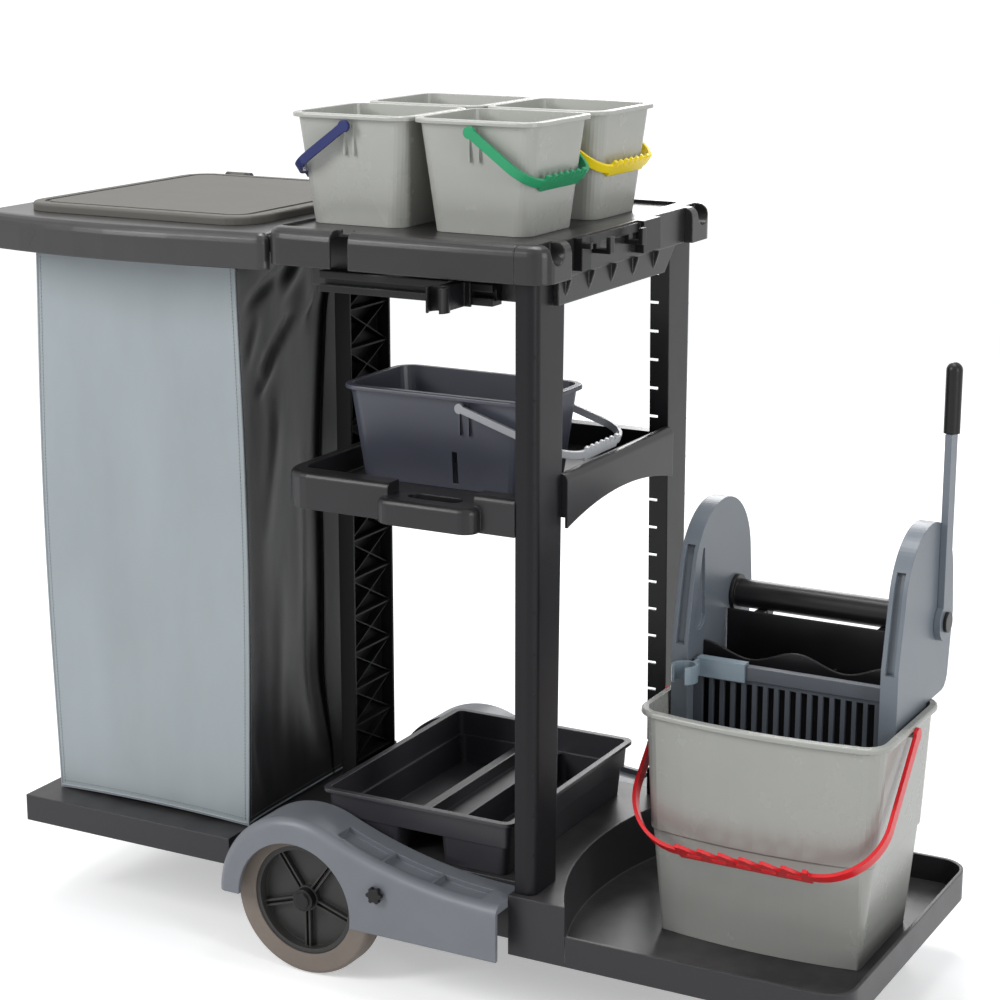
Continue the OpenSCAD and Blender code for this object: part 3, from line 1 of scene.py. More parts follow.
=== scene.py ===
import bpy
import bmesh
import json
import math
from mathutils import Matrix, Vector, noise


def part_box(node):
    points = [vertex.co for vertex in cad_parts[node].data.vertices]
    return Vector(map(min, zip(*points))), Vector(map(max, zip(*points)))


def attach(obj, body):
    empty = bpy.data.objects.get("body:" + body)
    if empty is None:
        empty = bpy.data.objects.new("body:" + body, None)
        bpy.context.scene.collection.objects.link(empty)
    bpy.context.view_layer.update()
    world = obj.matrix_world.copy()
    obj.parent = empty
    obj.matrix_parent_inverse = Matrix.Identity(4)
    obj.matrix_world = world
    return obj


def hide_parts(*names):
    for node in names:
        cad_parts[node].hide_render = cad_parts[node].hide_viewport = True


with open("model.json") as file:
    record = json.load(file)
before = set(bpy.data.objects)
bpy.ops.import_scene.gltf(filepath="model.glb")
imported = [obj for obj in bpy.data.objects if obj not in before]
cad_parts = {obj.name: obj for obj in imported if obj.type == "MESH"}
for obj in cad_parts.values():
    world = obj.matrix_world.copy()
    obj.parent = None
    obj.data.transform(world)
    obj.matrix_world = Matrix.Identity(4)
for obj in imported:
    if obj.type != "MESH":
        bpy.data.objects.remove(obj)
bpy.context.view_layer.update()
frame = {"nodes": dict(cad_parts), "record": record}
nodes = frame["nodes"]
scene = bpy.context.scene
scene.view_settings.view_transform = "Standard"
print("frame loaded:", len(nodes), "nodes")


# colour as seen on a screen, 0 to 255, to the linear value that shaders take
def fromScreen(red, green, blue):
    def lin(v):
        v = v / 255
        return v / 12.92 if v <= 0.04045 else ((v + 0.055) / 1.055) ** 2.4
    return (lin(red), lin(green), lin(blue), 1.0)


# camera at the photograph's place
cameraPlace = {
    "at": (1.588, -2.853, 1.466),
    "right": (0.8793, 0.4762, 0.0),
    "forward": (-0.4619, 0.8528, -0.2436),
    "lens": 85.75,
    "sensor": 36,
    "reach": 60,
}


def makeCamera():
    data = bpy.data.cameras.new("photoCamera")
    data.lens = cameraPlace["lens"]
    data.sensor_width = cameraPlace["sensor"]
    data.clip_end = cameraPlace["reach"]
    cam = bpy.data.objects.new("photoCamera", data)
    scene.collection.objects.link(cam)
    right = Vector(cameraPlace["right"]).normalized()
    back = -Vector(cameraPlace["forward"]).normalized()
    up = back.cross(right).normalized()
    turn = Matrix((right, up, back)).transposed().to_4x4()
    cam.matrix_world = Matrix.Translation(cameraPlace["at"]) @ turn
    scene.camera = cam


makeCamera()
print("camera set")

# soft studio: four long panels and a pale world
studio = {
    "worldLight": 0.42,
    "worldColor": (0.94, 0.97, 1.0, 1.0),
    "seenColor": (1.0, 1.0, 1.0, 1.0),
    "panels": [
        # name, place, aims at, width and height, watts
        ("keyPanel", (-2.4, -3.4, 3.0), (-0.1, 0.0, 0.7), (1.0, 2.4), 125),
        ("fillPanel", (3.6, -1.4, 1.5), (0.2, 0.0, 0.5), (0.8, 2.0), 50),
        ("topPanel", (0.1, 0.2, 3.9), (0.0, 0.0, 0.8), (2.6, 0.7), 70),
        ("rearPanel", (-1.0, 3.6, 2.4), (0.0, 0.0, 0.7), (1.0, 2.2), 46),
    ],
    "floorColor": (0.82, 0.82, 0.82, 1.0),
    "floorLift": (0.40, 0.80),     # own light that the eye sees near the object and far from it
    "liftReach": (2.0, 9.0),
    "floorReach": 60,
    "floorAt": -0.001,
}


# one for rays that the eye follows, zero for those that only light the object
def seenMask(tree):
    path = tree.nodes.new("ShaderNodeLightPath")
    first = tree.nodes.new("ShaderNodeMath")
    first.operation = "MAXIMUM"
    tree.links.new(path.outputs["Is Camera Ray"], first.inputs[0])
    tree.links.new(path.outputs["Is Glossy Ray"], first.inputs[1])
    second = tree.nodes.new("ShaderNodeMath")
    second.operation = "MAXIMUM"
    tree.links.new(first.outputs[0], second.inputs[0])
    tree.links.new(path.outputs["Is Transmission Ray"], second.inputs[1])
    return second.outputs[0]


def makeStudio():
    world = bpy.data.worlds.new("paleRoom")
    scene.world = world
    world.use_nodes = True
    tree = world.node_tree
    tree.nodes.clear()
    out = tree.nodes.new("ShaderNodeOutputWorld")
    lit = tree.nodes.new("ShaderNodeBackground")
    lit.inputs["Color"].default_value = studio["worldColor"]
    lit.inputs["Strength"].default_value = studio["worldLight"]
    seen = tree.nodes.new("ShaderNodeBackground")
    seen.inputs["Color"].default_value = studio["seenColor"]
    mix = tree.nodes.new("ShaderNodeMixShader")
    tree.links.new(seenMask(tree), mix.inputs[0])
    tree.links.new(lit.outputs[0], mix.inputs[1])
    tree.links.new(seen.outputs[0], mix.inputs[2])
    tree.links.new(mix.outputs[0], out.inputs["Surface"])

    for name, place, aim, size, watts in studio["panels"]:
        data = bpy.data.lights.new(name, "AREA")
        data.shape = "RECTANGLE"
        data.size, data.size_y = size
        data.energy = watts
        lamp = bpy.data.objects.new(name, data)
        scene.collection.objects.link(lamp)
        lamp.location = place
        lamp.rotation_euler = (Vector(aim) - Vector(place)).to_track_quat("-Z", "Y").to_euler()

    mesh = bpy.data.meshes.new("floor")
    bm = bmesh.new()
    bmesh.ops.create_grid(bm, x_segments=2, y_segments=2, size=studio["floorReach"])
    bm.to_mesh(mesh)
    bm.free()
    floor = bpy.data.objects.new("floor", mesh)
    scene.collection.objects.link(floor)
    floor.location = (0, 0, studio["floorAt"])
    mat = bpy.data.materials.new("paleFloor")
    mat.use_nodes = True
    tree = mat.node_tree
    tree.nodes.clear()
    out = tree.nodes.new("ShaderNodeOutputMaterial")
    matt = tree.nodes.new("ShaderNodeBsdfDiffuse")
    matt.inputs["Color"].default_value = studio["floorColor"]
    lift = tree.nodes.new("ShaderNodeEmission")
    away = tree.nodes.new("ShaderNodeVectorMath")
    away.operation = "LENGTH"
    tree.links.new(tree.nodes.new("ShaderNodeNewGeometry").outputs["Position"], away.inputs[0])
    ramp = tree.nodes.new("ShaderNodeMapRange")
    tree.links.new(away.outputs["Value"], ramp.inputs["Value"])
    rampEnds = ("From Min", "From Max", "To Min", "To Max")
    for label, value in zip(rampEnds, studio["liftReach"] + studio["floorLift"]):
        ramp.inputs[label].default_value = value
    scale = tree.nodes.new("ShaderNodeMath")
    scale.operation = "MULTIPLY"
    tree.links.new(ramp.outputs["Result"], scale.inputs[1])
    tree.links.new(seenMask(tree), scale.inputs[0])
    tree.links.new(scale.outputs[0], lift.inputs["Strength"])
    both = tree.nodes.new("ShaderNodeAddShader")
    tree.links.new(matt.outputs[0], both.inputs[0])
    tree.links.new(lift.outputs[0], both.inputs[1])
    tree.links.new(both.outputs[0], out.inputs["Surface"])
    mesh.materials.append(mat)


makeStudio()
print("studio set")


# shader groups that the finishes share; sizes in metres, spans are the noise levels mapped to 0 and 1
grainGroup = {"grainSize": 0.0008, "patchSize": 0.06, "fineDetail": 1.0, "patchDetail": 4.0,
              "patchRough": 0.6, "patchSpan": (0.3, 0.7)}
rubGroup = {"radius": 0.002, "breakSize": 0.012, "samples": 4, "gain": 4.0, "breakDetail": 3.0,
            "breakSpan": (0.35, 0.65)}
dustGroup = {"amount": 0.1, "cloudSize": 0.05, "upSpan": (0.4, 1.0), "cloudDetail": 6.0, "cloudRough": 0.65,
             "cloudSpan": (0.38, 0.7)}
weaveGroup = {"thread": 0.0012, "creaseSize": 0.05, "stretch": (1.0, 1.0, 0.35), "creaseDetail": 5.0,
              "creaseRough": 0.55}


def newGroup(name, inputs, outputs):
    tree = bpy.data.node_groups.new(name, "ShaderNodeTree")
    for label, kind, value in inputs:
        socket = tree.interface.new_socket(label, in_out="INPUT", socket_type=kind)
        socket.default_value = value
    for label, kind in outputs:
        tree.interface.new_socket(label, in_out="OUTPUT", socket_type=kind)
    return tree, tree.nodes.new("NodeGroupInput"), tree.nodes.new("NodeGroupOutput")


def mathNode(tree, operation, a, b=None, clamp=False):
    node = tree.nodes.new("ShaderNodeMath")
    node.operation = operation
    node.use_clamp = clamp
    for i, v in enumerate((a, b)):
        if v is None:
            continue
        if isinstance(v, (int, float)):
            node.inputs[i].default_value = v
        else:
            tree.links.new(v, node.inputs[i])
    return node.outputs[0]


def noiseNode(tree, vector, scale, detail=2.0, rough=0.5):
    node = tree.nodes.new("ShaderNodeTexNoise")
    node.inputs["Detail"].default_value = detail
    node.inputs["Roughness"].default_value = rough
    tree.links.new(vector, node.inputs["Vector"])
    if isinstance(scale, (int, float)):
        node.inputs["Scale"].default_value = scale
    else:
        tree.links.new(scale, node.inputs["Scale"])
    return node.outputs["Fac"]


def rangeNode(tree, value, low, high, toLow=0.0, toHigh=1.0):
    node = tree.nodes.new("ShaderNodeMapRange")
    tree.links.new(value, node.inputs["Value"])
    node.inputs["From Min"].default_value = low
    node.inputs["From Max"].default_value = high
    node.inputs["To Min"].default_value = toLow
    node.inputs["To Max"].default_value = toHigh
    return node.outputs["Result"]


def makeMouldGrain():
    tree, gin, gout = newGroup(
        "mouldGrain",
        [("Grain Size", "NodeSocketFloat", grainGroup["grainSize"]),
         ("Patch Size", "NodeSocketFloat", grainGroup["patchSize"])],
        [("Height", "NodeSocketFloat"), ("Patch", "NodeSocketFloat")],
    )
    coord = tree.nodes.new("ShaderNodeTexCoord").outputs["Object"]
    fine = mathNode(tree, "DIVIDE", 1.0, gin.outputs["Grain Size"])
    broad = mathNode(tree, "DIVIDE", 1.0, gin.outputs["Patch Size"])
    tree.links.new(noiseNode(tree, coord, fine, grainGroup["fineDetail"]), gout.inputs["Height"])
    clouds = noiseNode(tree, coord, broad, grainGroup["patchDetail"], grainGroup["patchRough"])
    patch = rangeNode(tree, clouds, *grainGroup["patchSpan"])
    tree.links.new(patch, gout.inputs["Patch"])
    return tree


# lighter edges found from the bevelled normal: partly wear, partly a painted highlight along the rounded
# edges
def makeEdgeWearAndHighlight():
    tree, gin, gout = newGroup(
        "edgeWearAndHighlight",
        [("Radius", "NodeSocketFloat", rubGroup["radius"]),
         ("Breakup Size", "NodeSocketFloat", rubGroup["breakSize"])],
        [("Edge", "NodeSocketFloat"), ("Soft Normal", "NodeSocketVector")],
    )
    bevel = tree.nodes.new("ShaderNodeBevel")
    bevel.samples = rubGroup["samples"]
    tree.links.new(gin.outputs["Radius"], bevel.inputs["Radius"])
    flat = tree.nodes.new("ShaderNodeNewGeometry").outputs["Normal"]
    dot = tree.nodes.new("ShaderNodeVectorMath")
    dot.operation = "DOT_PRODUCT"
    tree.links.new(bevel.outputs["Normal"], dot.inputs[0])
    tree.links.new(flat, dot.inputs[1])
    bend = mathNode(tree, "SUBTRACT", 1.0, dot.outputs["Value"], clamp=True)
    coord = tree.nodes.new("ShaderNodeTexCoord").outputs["Object"]
    size = mathNode(tree, "DIVIDE", 1.0, gin.outputs["Breakup Size"])
    uneven = rangeNode(tree, noiseNode(tree, coord, size, rubGroup["breakDetail"]), *rubGroup["breakSpan"])
    strong = mathNode(tree, "MULTIPLY", bend, rubGroup["gain"], clamp=True)
    edge = mathNode(tree, "MULTIPLY", strong, uneven, clamp=True)
    tree.links.new(edge, gout.inputs["Edge"])
    tree.links.new(bevel.outputs["Normal"], gout.inputs["Soft Normal"])
    return tree


def makeDustFall():
    tree, gin, gout = newGroup(
        "dustFall",
        [("Amount", "NodeSocketFloat", dustGroup["amount"]),
         ("Cloud Size", "NodeSocketFloat", dustGroup["cloudSize"])],
        [("Dust", "NodeSocketFloat")],
    )
    split = tree.nodes.new("ShaderNodeSeparateXYZ")
    tree.links.new(tree.nodes.new("ShaderNodeNewGeometry").outputs["Normal"], split.inputs[0])
    upward = rangeNode(tree, split.outputs["Z"], *dustGroup["upSpan"])
    coord = tree.nodes.new("ShaderNodeTexCoord").outputs["Object"]
    size = mathNode(tree, "DIVIDE", 1.0, gin.outputs["Cloud Size"])
    puffs = noiseNode(tree, coord, size, dustGroup["cloudDetail"], dustGroup["cloudRough"])
    cloud = rangeNode(tree, puffs, *dustGroup["cloudSpan"])
    lie = mathNode(tree, "MULTIPLY", upward, cloud)
    tree.links.new(mathNode(tree, "MULTIPLY", lie, gin.outputs["Amount"], clamp=True), gout.inputs["Dust"])
    return tree


def makeClothWeave():
    tree, gin, gout = newGroup(
        "clothWeave",
        [("Thread", "NodeSocketFloat", weaveGroup["thread"]),
         ("Crease Size", "NodeSocketFloat", weaveGroup["creaseSize"])],
        [("Height", "NodeSocketFloat"), ("Crease", "NodeSocketFloat")],
    )
    coord = tree.nodes.new("ShaderNodeTexCoord").outputs["Object"]
    split = tree.nodes.new("ShaderNodeSeparateXYZ")
    tree.links.new(coord, split.inputs[0])
    turn = mathNode(tree, "DIVIDE", 2 * math.pi, gin.outputs["Thread"])
    along = mathNode(tree, "ADD", split.outputs["X"], split.outputs["Y"])
    warp = mathNode(tree, "SINE", mathNode(tree, "MULTIPLY", along, turn))
    weft = mathNode(tree, "SINE", mathNode(tree, "MULTIPLY", split.outputs["Z"], turn))
    tree.links.new(mathNode(tree, "MULTIPLY", warp, weft), gout.inputs["Height"])
    stretch = tree.nodes.new("ShaderNodeMapping")
    stretch.inputs["Scale"].default_value = weaveGroup["stretch"]
    tree.links.new(coord, stretch.inputs["Vector"])
    size = mathNode(tree, "DIVIDE", 1.0, gin.outputs["Crease Size"])
    crease = noiseNode(tree, stretch.outputs["Vector"], size, weaveGroup["creaseDetail"],
                       weaveGroup["creaseRough"])
    tree.links.new(crease, gout.inputs["Crease"])
    return tree


groups = {
    "mouldGrain": makeMouldGrain(),
    "edgeWearAndHighlight": makeEdgeWearAndHighlight(),
    "dustFall": makeDustFall(),
    "clothWeave": makeClothWeave(),
}


def useGroup(tree, name, **values):
    node = tree.nodes.new("ShaderNodeGroup")
    node.node_tree = groups[name]
    for label, value in values.items():
        node.inputs[label].default_value = value
    return node


def mixColor(tree, factor, a, b):
    node = tree.nodes.new("ShaderNodeMix")
    node.data_type = "RGBA"
    tree.links.new(factor, node.inputs["Factor"])
    for socket, value in ((node.inputs[6], a), (node.inputs[7], b)):
        if isinstance(value, tuple):
            socket.default_value = value
        else:
            tree.links.new(value, socket)
    return node.outputs[2]


def shaded(color, factor):
    return tuple(min(1.0, c * factor) for c in color[:3]) + (1.0,)


# what all the moulded finishes have in common
mouldShared = {"breakup": 0.012, "dustCloud": 0.06, "dustColor": (150, 146, 140), "dustRough": 0.3,
               "bump": 0.6, "ior": 1.48}


# moulded plastic, rubber or plated metal from one look
def mouldedFinish(name, spec):
    mat = bpy.data.materials.new(name)
    mat.use_nodes = True
    tree = mat.node_tree
    skin = tree.nodes["Principled BSDF"]
    base = spec["color"]
    grain = useGroup(tree, "mouldGrain", **{"Grain Size": spec["grain"], "Patch Size": spec["patch"]})
    rub = useGroup(tree, "edgeWearAndHighlight", Radius=spec["edge"], **{"Breakup Size": mouldShared["breakup"]})
    dust = useGroup(tree, "dustFall", Amount=spec["dust"], **{"Cloud Size": mouldShared["dustCloud"]})
    dark, light = shaded(base, 1 - spec["mottle"]), shaded(base, 1 + spec["mottle"])
    tone = mixColor(tree, grain.outputs["Patch"], dark, light)
    # edges take the second colour, partly as wear and partly as a painted highlight
    rubbed = mathNode(tree, "MULTIPLY", rub.outputs["Edge"], spec["rub"])
    wornAndLit = mixColor(tree, rubbed, tone, spec["rubColor"])
    dusty = mixColor(tree, dust.outputs["Dust"], wornAndLit, fromScreen(*mouldShared["dustColor"]))
    tree.links.new(dusty, skin.inputs["Base Color"])
    rough = rangeNode(tree, grain.outputs["Patch"], 0, 1, spec["rough"] - spec["roughSpread"],
                      spec["rough"] + spec["roughSpread"])
    dull = mathNode(tree, "MULTIPLY", dust.outputs["Dust"], mouldShared["dustRough"])
    rough = mathNode(tree, "ADD", rough, dull, clamp=True)
    tree.links.new(rough, skin.inputs["Roughness"])
    bump = tree.nodes.new("ShaderNodeBump")
    bump.inputs["Strength"].default_value = mouldShared["bump"]
    bump.inputs["Distance"].default_value = spec["depth"]
    tree.links.new(grain.outputs["Height"], bump.inputs["Height"])
    tree.links.new(rub.outputs["Soft Normal"], bump.inputs["Normal"])
    tree.links.new(bump.outputs["Normal"], skin.inputs["Normal"])
    skin.inputs["Metallic"].default_value = spec["metal"]
    skin.inputs["IOR"].default_value = mouldShared["ior"]
    skin.inputs["Specular IOR Level"].default_value = spec["shine"]
    return mat


# one look for each finish; sizes in metres
plainLook = {"grain": 0.0009, "patch": 0.07, "edge": 0.0016, "dust": 0.06, "mottle": 0.05, "rub": 0.25,
             "rough": 0.45, "roughSpread": 0.025, "depth": 0.0001, "metal": 0.0, "shine": 0.5}


# the second colour lies on the edges, partly as wear and partly as a painted highlight
def look(color, rubColor, **changes):
    made = dict(plainLook)
    made.update(changes)
    made["color"] = fromScreen(*color)
    made["rubColor"] = fromScreen(*rubColor)
    return made


finishes = {
    "black_plastic": look((24, 23, 25), (66, 65, 66), rough=0.33, edge=0.0026, rub=0.4, grain=0.0012,
                          depth=0.00012, shine=0.27),
    "cover_grey": look((106, 110, 116), (150, 154, 160), rough=0.42, edge=0.002, grain=0.0012, depth=0.00014),
    "lid_grey": look((93, 91, 86), (126, 124, 118), rough=0.55, grain=0.0012, depth=0.00018, shine=0.3),
    "dark_plastic": look((46, 45, 50), (92, 92, 96), rough=0.34, edge=0.0018, shine=0.42),
    "tyre_rubber": look((118, 108, 100), (140, 130, 122), rough=0.72, dust=0.1, mottle=0.1, depth=0.0002),
    "tread_rubber": look((74, 74, 74), (100, 100, 100), rough=0.7, dust=0.1, mottle=0.08),
    "rim_plastic": look((50, 49, 48), (86, 86, 84), rough=0.45, shine=0.35),
    "plated_steel": look((190, 192, 195), (214, 214, 214), rough=0.32, metal=1.0, mottle=0.04, dust=0.03),
    "bucket_grey": look((164, 165, 159), (188, 189, 184), rough=0.27, roughSpread=0.008, edge=0.0012,
                        dust=0.03, grain=0.0016, depth=0.00006, mottle=0.025),
    "slate_plastic": look((69, 71, 82), (112, 114, 126), rough=0.36, dust=0.03, mottle=0.03),
    "pale_plastic": look((158, 160, 164), (186, 188, 190), rough=0.36, dust=0.02, mottle=0.03),
    "wringer_grey": look((102, 109, 117), (140, 146, 152), rough=0.36, dust=0.03, mottle=0.03),
    "blue_plastic": look((24, 36, 92), (58, 72, 132), rough=0.34, shine=0.4, dust=0.02, mottle=0.03),
    "green_plastic": look((36, 146, 98), (90, 186, 144), rough=0.34, shine=0.4, dust=0.02, mottle=0.03),
    "yellow_plastic": look((250, 222, 20), (255, 236, 110), rough=0.36, dust=0.02, mottle=0.02),
    "red_plastic": look((204, 18, 28), (226, 70, 74), rough=0.3, shine=0.42, dust=0.02, mottle=0.03),
}


# nodes whose tone differs from the rest of their slot; some are lighter or darker copies of the black
# plastic, painted light and painted shade as noted at each
# the tray and its corner caps: black plastic painted lighter as painted light, with a bright painted
# highlight along the edges
fasciaLitLook = look((38, 37, 38), (104, 102, 102), rough=0.29, edge=0.003, rub=0.5, grain=0.0012, depth=0.00012,
                  shine=0.4)
ownFinish = {
    "top_tray": ("trayLitBlack", fasciaLitLook),
    # the bag frame: black plastic painted lighter still, a painted highlight for the glint on its fascia
    "bag_frame": ("bagFrameLitBlack", look((52, 51, 52), (116, 114, 114), rough=0.29, edge=0.003, rub=0.5,
                                        grain=0.0012, depth=0.00012, shine=0.45)),
    # the front right post: black plastic painted darker, as painted shade
    "front_right_post": ("frontPostShadedBlack", look((19, 18, 21), (60, 59, 60), rough=0.36, edge=0.0026, rub=0.35,
                                                shine=0.22)),
    "centre_column": ("columnBlack", look((14, 14, 15), (34, 34, 35), rough=0.5, rub=0.15, shine=0.16)),
    "front_corner_cap": ("frontCapLitBlack", fasciaLitLook),
    "rear_corner_cap": ("rearCapLitBlack", fasciaLitLook),
    "middle_shelf": ("shelfBlack", look((31, 30, 32), (84, 83, 84), rough=0.32, edge=0.0026, rub=0.4,
                                        shine=0.36)),
    # the base deck: black plastic painted lighter as painted light against the shade inside the bay; its dust
    # is separate
    "base_deck": ("deckLitBlack", look((39, 38, 41), (78, 77, 78), rough=0.36, edge=0.0026, rub=0.4, dust=0.1,
                                    shine=0.36)),
    "rim_bracket": ("bracketGrey", look((128, 142, 152), (160, 172, 180), rough=0.34, dust=0.03,
                                        mottle=0.03)),
    "mop_bucket": ("mopBucketGrey", look((152, 153, 148), (178, 179, 174), rough=0.27, roughSpread=0.008,
                                         edge=0.0012, dust=0.03, grain=0.0016, depth=0.00006, mottle=0.025)),
    "wringer_basket": ("basketGrey", look((74, 79, 86), (112, 118, 124), rough=0.38, dust=0.03, mottle=0.03)),
}


def dressFrame():
    made = {slot: mouldedFinish(slot, spec) for slot, spec in finishes.items()}
    made.update({node: mouldedFinish(name, spec) for node, (name, spec) in ownFinish.items()})
    for part in frame["record"]["subparts"]:
        slot = part["node"] if part["node"] in ownFinish else part["material_slot"]
        if slot not in made:
            continue
        mesh = nodes[part["node"]].data
        mesh.materials.clear()
        mesh.materials.append(made[slot])
        for poly in mesh.polygons:
            poly.material_index = 0


dressFrame()
print("frame dressed")

# waste bag: two pale panels and two dark gussets that fold inwards, sewn at the corners
wasteBag = {
    "rows": 130,           # steps up the bag; a side share runs from -1 to 1 and a height share from 0 to 1
    "panelSteps": 34,
    "gussetSteps": (34, 8, 22),  # front half, turn under the fold, rear half
    "cloth": 0.0012,
    "cut": (1.49, 0.98),   # the four sides in one strip, with the foot at their lower edge
    "cutArea": 1.43,
    "sideSize": (0.183, 0.87),   # half the depth and the height of a gusset, as the creases measure it
    "footGap": 0.001,      # room below the foot
    "mouthGap": 0.0005,    # room above the mouth
    "swell": 0.009,        # how far the corners stand out at mid height
    "swellForm": (1.05, 1.2),    # how early the swell ends, and its power
    "calm": (0.06, 0.94),  # below and above these height shares the cloth runs out flat
    "seeds": {"front": 3.1, "rear": 8.4, "right": 1.7, "left": 5.2},
    "panelWaves": [(2.2, 3.0, 0.004), (7, 5, 0.0012)],     # waves across, waves up, height
    "gussetWaves": [(2.6, 1.5, 0.003), (6, 3.0, 0.0007)],
    "panelHollow": 0.003,
    "panelFoot": (0.004, 12),    # lift of a panel's lower edge, and how fast it fades
    "gussetHollow": (0.004, 0.006, 0.6, 0.85),   # low down, more at the mouth, where that starts and ends
    "flatEdge": {"panel": 6, "gusset": 8},       # how close to the corners the waves reach
    "fold": 0.030,         # depth of the gusset fold
    "foldTurn": 0.06,      # share of the gusset that turns under the fold
    "foldUnder": 0.045,    # how far the front half runs on under the rear half
    "foldAt": (0.29, 0.58),      # place of the fold between the corners, low down and at the mouth
    "foldRise": (0.55, 0.96),    # height shares between which it moves
    "foldOpens": (-0.02, 0.22),  # height shares over which the fold opens, and closes again
    "foldCloses": (1.02, 0.80),
    "foldCurve": 1.3,
    "lip": 0.010,          # how far the rear half of the gusset stands over the fold
    "seam": 0.0015,
    "seamRound": 3,
    "seamStep": 2,         # rows from one point of a corner seam to the next
    "footSeamAt": 0.004,
    "sharpTurn": 50,
    "stitch": (0.0034, 0.0052, 0.0005),    # length, pitch and radius of a stitch
    # place along the stitch, rise and width
    "stitchForm": [(-0.5, 0.1, 0.35), (-0.3, 0.9, 1.0), (0.3, 0.9, 1.0), (0.5, 0.1, 0.35)],
    "stitchIn": 0.006,                     # distance of the stitch row from the corner
    "stitchRun": (0.012, 0.98),            # where a row starts, and how much of the height it runs
    "footStitchSteps": 60,
    "threadColor": (120, 126, 130),
    "panelColor": (146, 154, 158),
    "gussetColor": (43, 43, 45),
    "panelGloss": 0.42,
    "gussetGloss": 0.36,
    "gussetShine": 0.3,
    "gussetSheen": 0.04,
    "threadGloss": 0.6,
    "creaseFade": (0.12, 0.76),
    "creases": [
        # side share and height share of both ends, height, width in metres
        (0.16, 0.835, 0.56, 0.945, 0.0075, 0.006),
        (0.24, 0.820, 0.60, 0.930, -0.0050, 0.008),
        (-0.10, 0.820, -0.58, 0.750, -0.0110, 0.010),
        (-0.28, 0.785, -0.68, 0.722, 0.0070, 0.007),
        (0.02, 0.930, -0.28, 0.890, -0.0070, 0.007),
        (0.05, 0.915, -0.20, 0.868, 0.0050, 0.008),
        (0.12, 0.925, 0.40, 0.960, -0.0050, 0.007),
        (-0.20, 0.965, -0.26, 0.915, -0.0060, 0.007),
        (-0.30, 0.905, -0.80, 0.862, -0.0070, 0.009),
        (-0.62, 0.835, -0.86, 0.770, 0.0040, 0.010),
        (-0.40, 0.70, -0.62, 0.50, 0.0040, 0.016),
        (-0.05, 0.62, -0.12, 0.28, 0.0040, 0.020),
        (-0.45, 0.40, -0.50, 0.10, 0.0030, 0.020),
        (0.10, 0.34, 0.16, 0.06, -0.0060, 0.014),
        (-0.86, 0.16, -0.70, 0.03, -0.0050, 0.012),
        (0.62, 0.45, 0.74, 0.12, 0.0040, 0.014),
    ],
    "pillows": [
        # side share and height share of the middle, both half widths, height
        (-0.66, 0.952, 0.36, 0.036, 0.016),
        (0.12, 0.850, 0.16, 0.045, 0.011),
        (-0.30, 0.660, 0.40, 0.090, 0.004),
        (-0.35, 0.300, 0.38, 0.170, 0.005),
    ],
}


def smoothStep(low, high, v):
    v = min(1.0, max(0.0, (v - low) / (high - low)))
    return v * v * (3 - 2 * v)


# how far creases and pillows raise the gusset's cloth; the left gusset mirrors the right one
def creaseHeight(s, t, mirrored):
    wideSide, tallSide = wasteBag["sideSize"]
    fadeFrom, fadeRun = wasteBag["creaseFade"]
    total = 0.0
    for s0, t0, s1, t1, rise, width in wasteBag["creases"]:
        if mirrored:
            s0, s1 = -s0, -s1
        ax, ay = (s1 - s0) * wideSide, (t1 - t0) * tallSide
        px, py = (s - s0) * wideSide, (t - t0) * tallSide
        along = max(0.0, min(1.0, (px * ax + py * ay) / (ax * ax + ay * ay)))
        gap = math.hypot(px - along * ax, py - along * ay)
        fade = math.sin(math.pi * (fadeFrom + fadeRun * along))
        total += rise * fade * math.exp(-(gap / width) ** 2)
    for s0, t0, wide, tall, rise in wasteBag["pillows"]:
        away = ((s + s0 if mirrored else s - s0) / wide) ** 2 + ((t - t0) / tall) ** 2
        total += rise * math.exp(-away)
    return total


bagLow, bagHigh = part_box("waste_bag")


# share between the corners and depth of a place on the gusset, which folds in on itself like a pleat
def gussetFold(q, t):
    opened = smoothStep(*wasteBag["foldOpens"], t) * smoothStep(*wasteBag["foldCloses"], t)
    low, high = wasteBag["foldAt"]
    foldAt = low + (high - low) * smoothStep(*wasteBag["foldRise"], t)
    under, turn = wasteBag["foldUnder"] * opened, wasteBag["foldTurn"]
    deep, lip = wasteBag["fold"] * opened, wasteBag["lip"] * opened
    if q <= -turn:
        u = (q + 1) / (1 - turn)
        return -1 + u * (foldAt + under + 1), deep * u ** wasteBag["foldCurve"]
    if q < 0:
        u = (q + turn) / turn
        return foldAt + under * (1 - u), deep - lip * smoothStep(0, 1, u)
    return foldAt + (1 - foldAt) * q, (deep - lip) * (1 - q)


def gussetShares():
    front, bend, rear = wasteBag["gussetSteps"]
    turn = wasteBag["foldTurn"]
    shares = [-1 + (1 - turn) * i / front for i in range(front)]
    shares += [-turn + turn * i / bend for i in range(bend)]
    return shares + [i / rear for i in range(rear)]


def waveHeight(waves, s, t, seed):
    return sum(noise.noise((s * across, t * up, seed)) * rise for across, up, rise in waves)


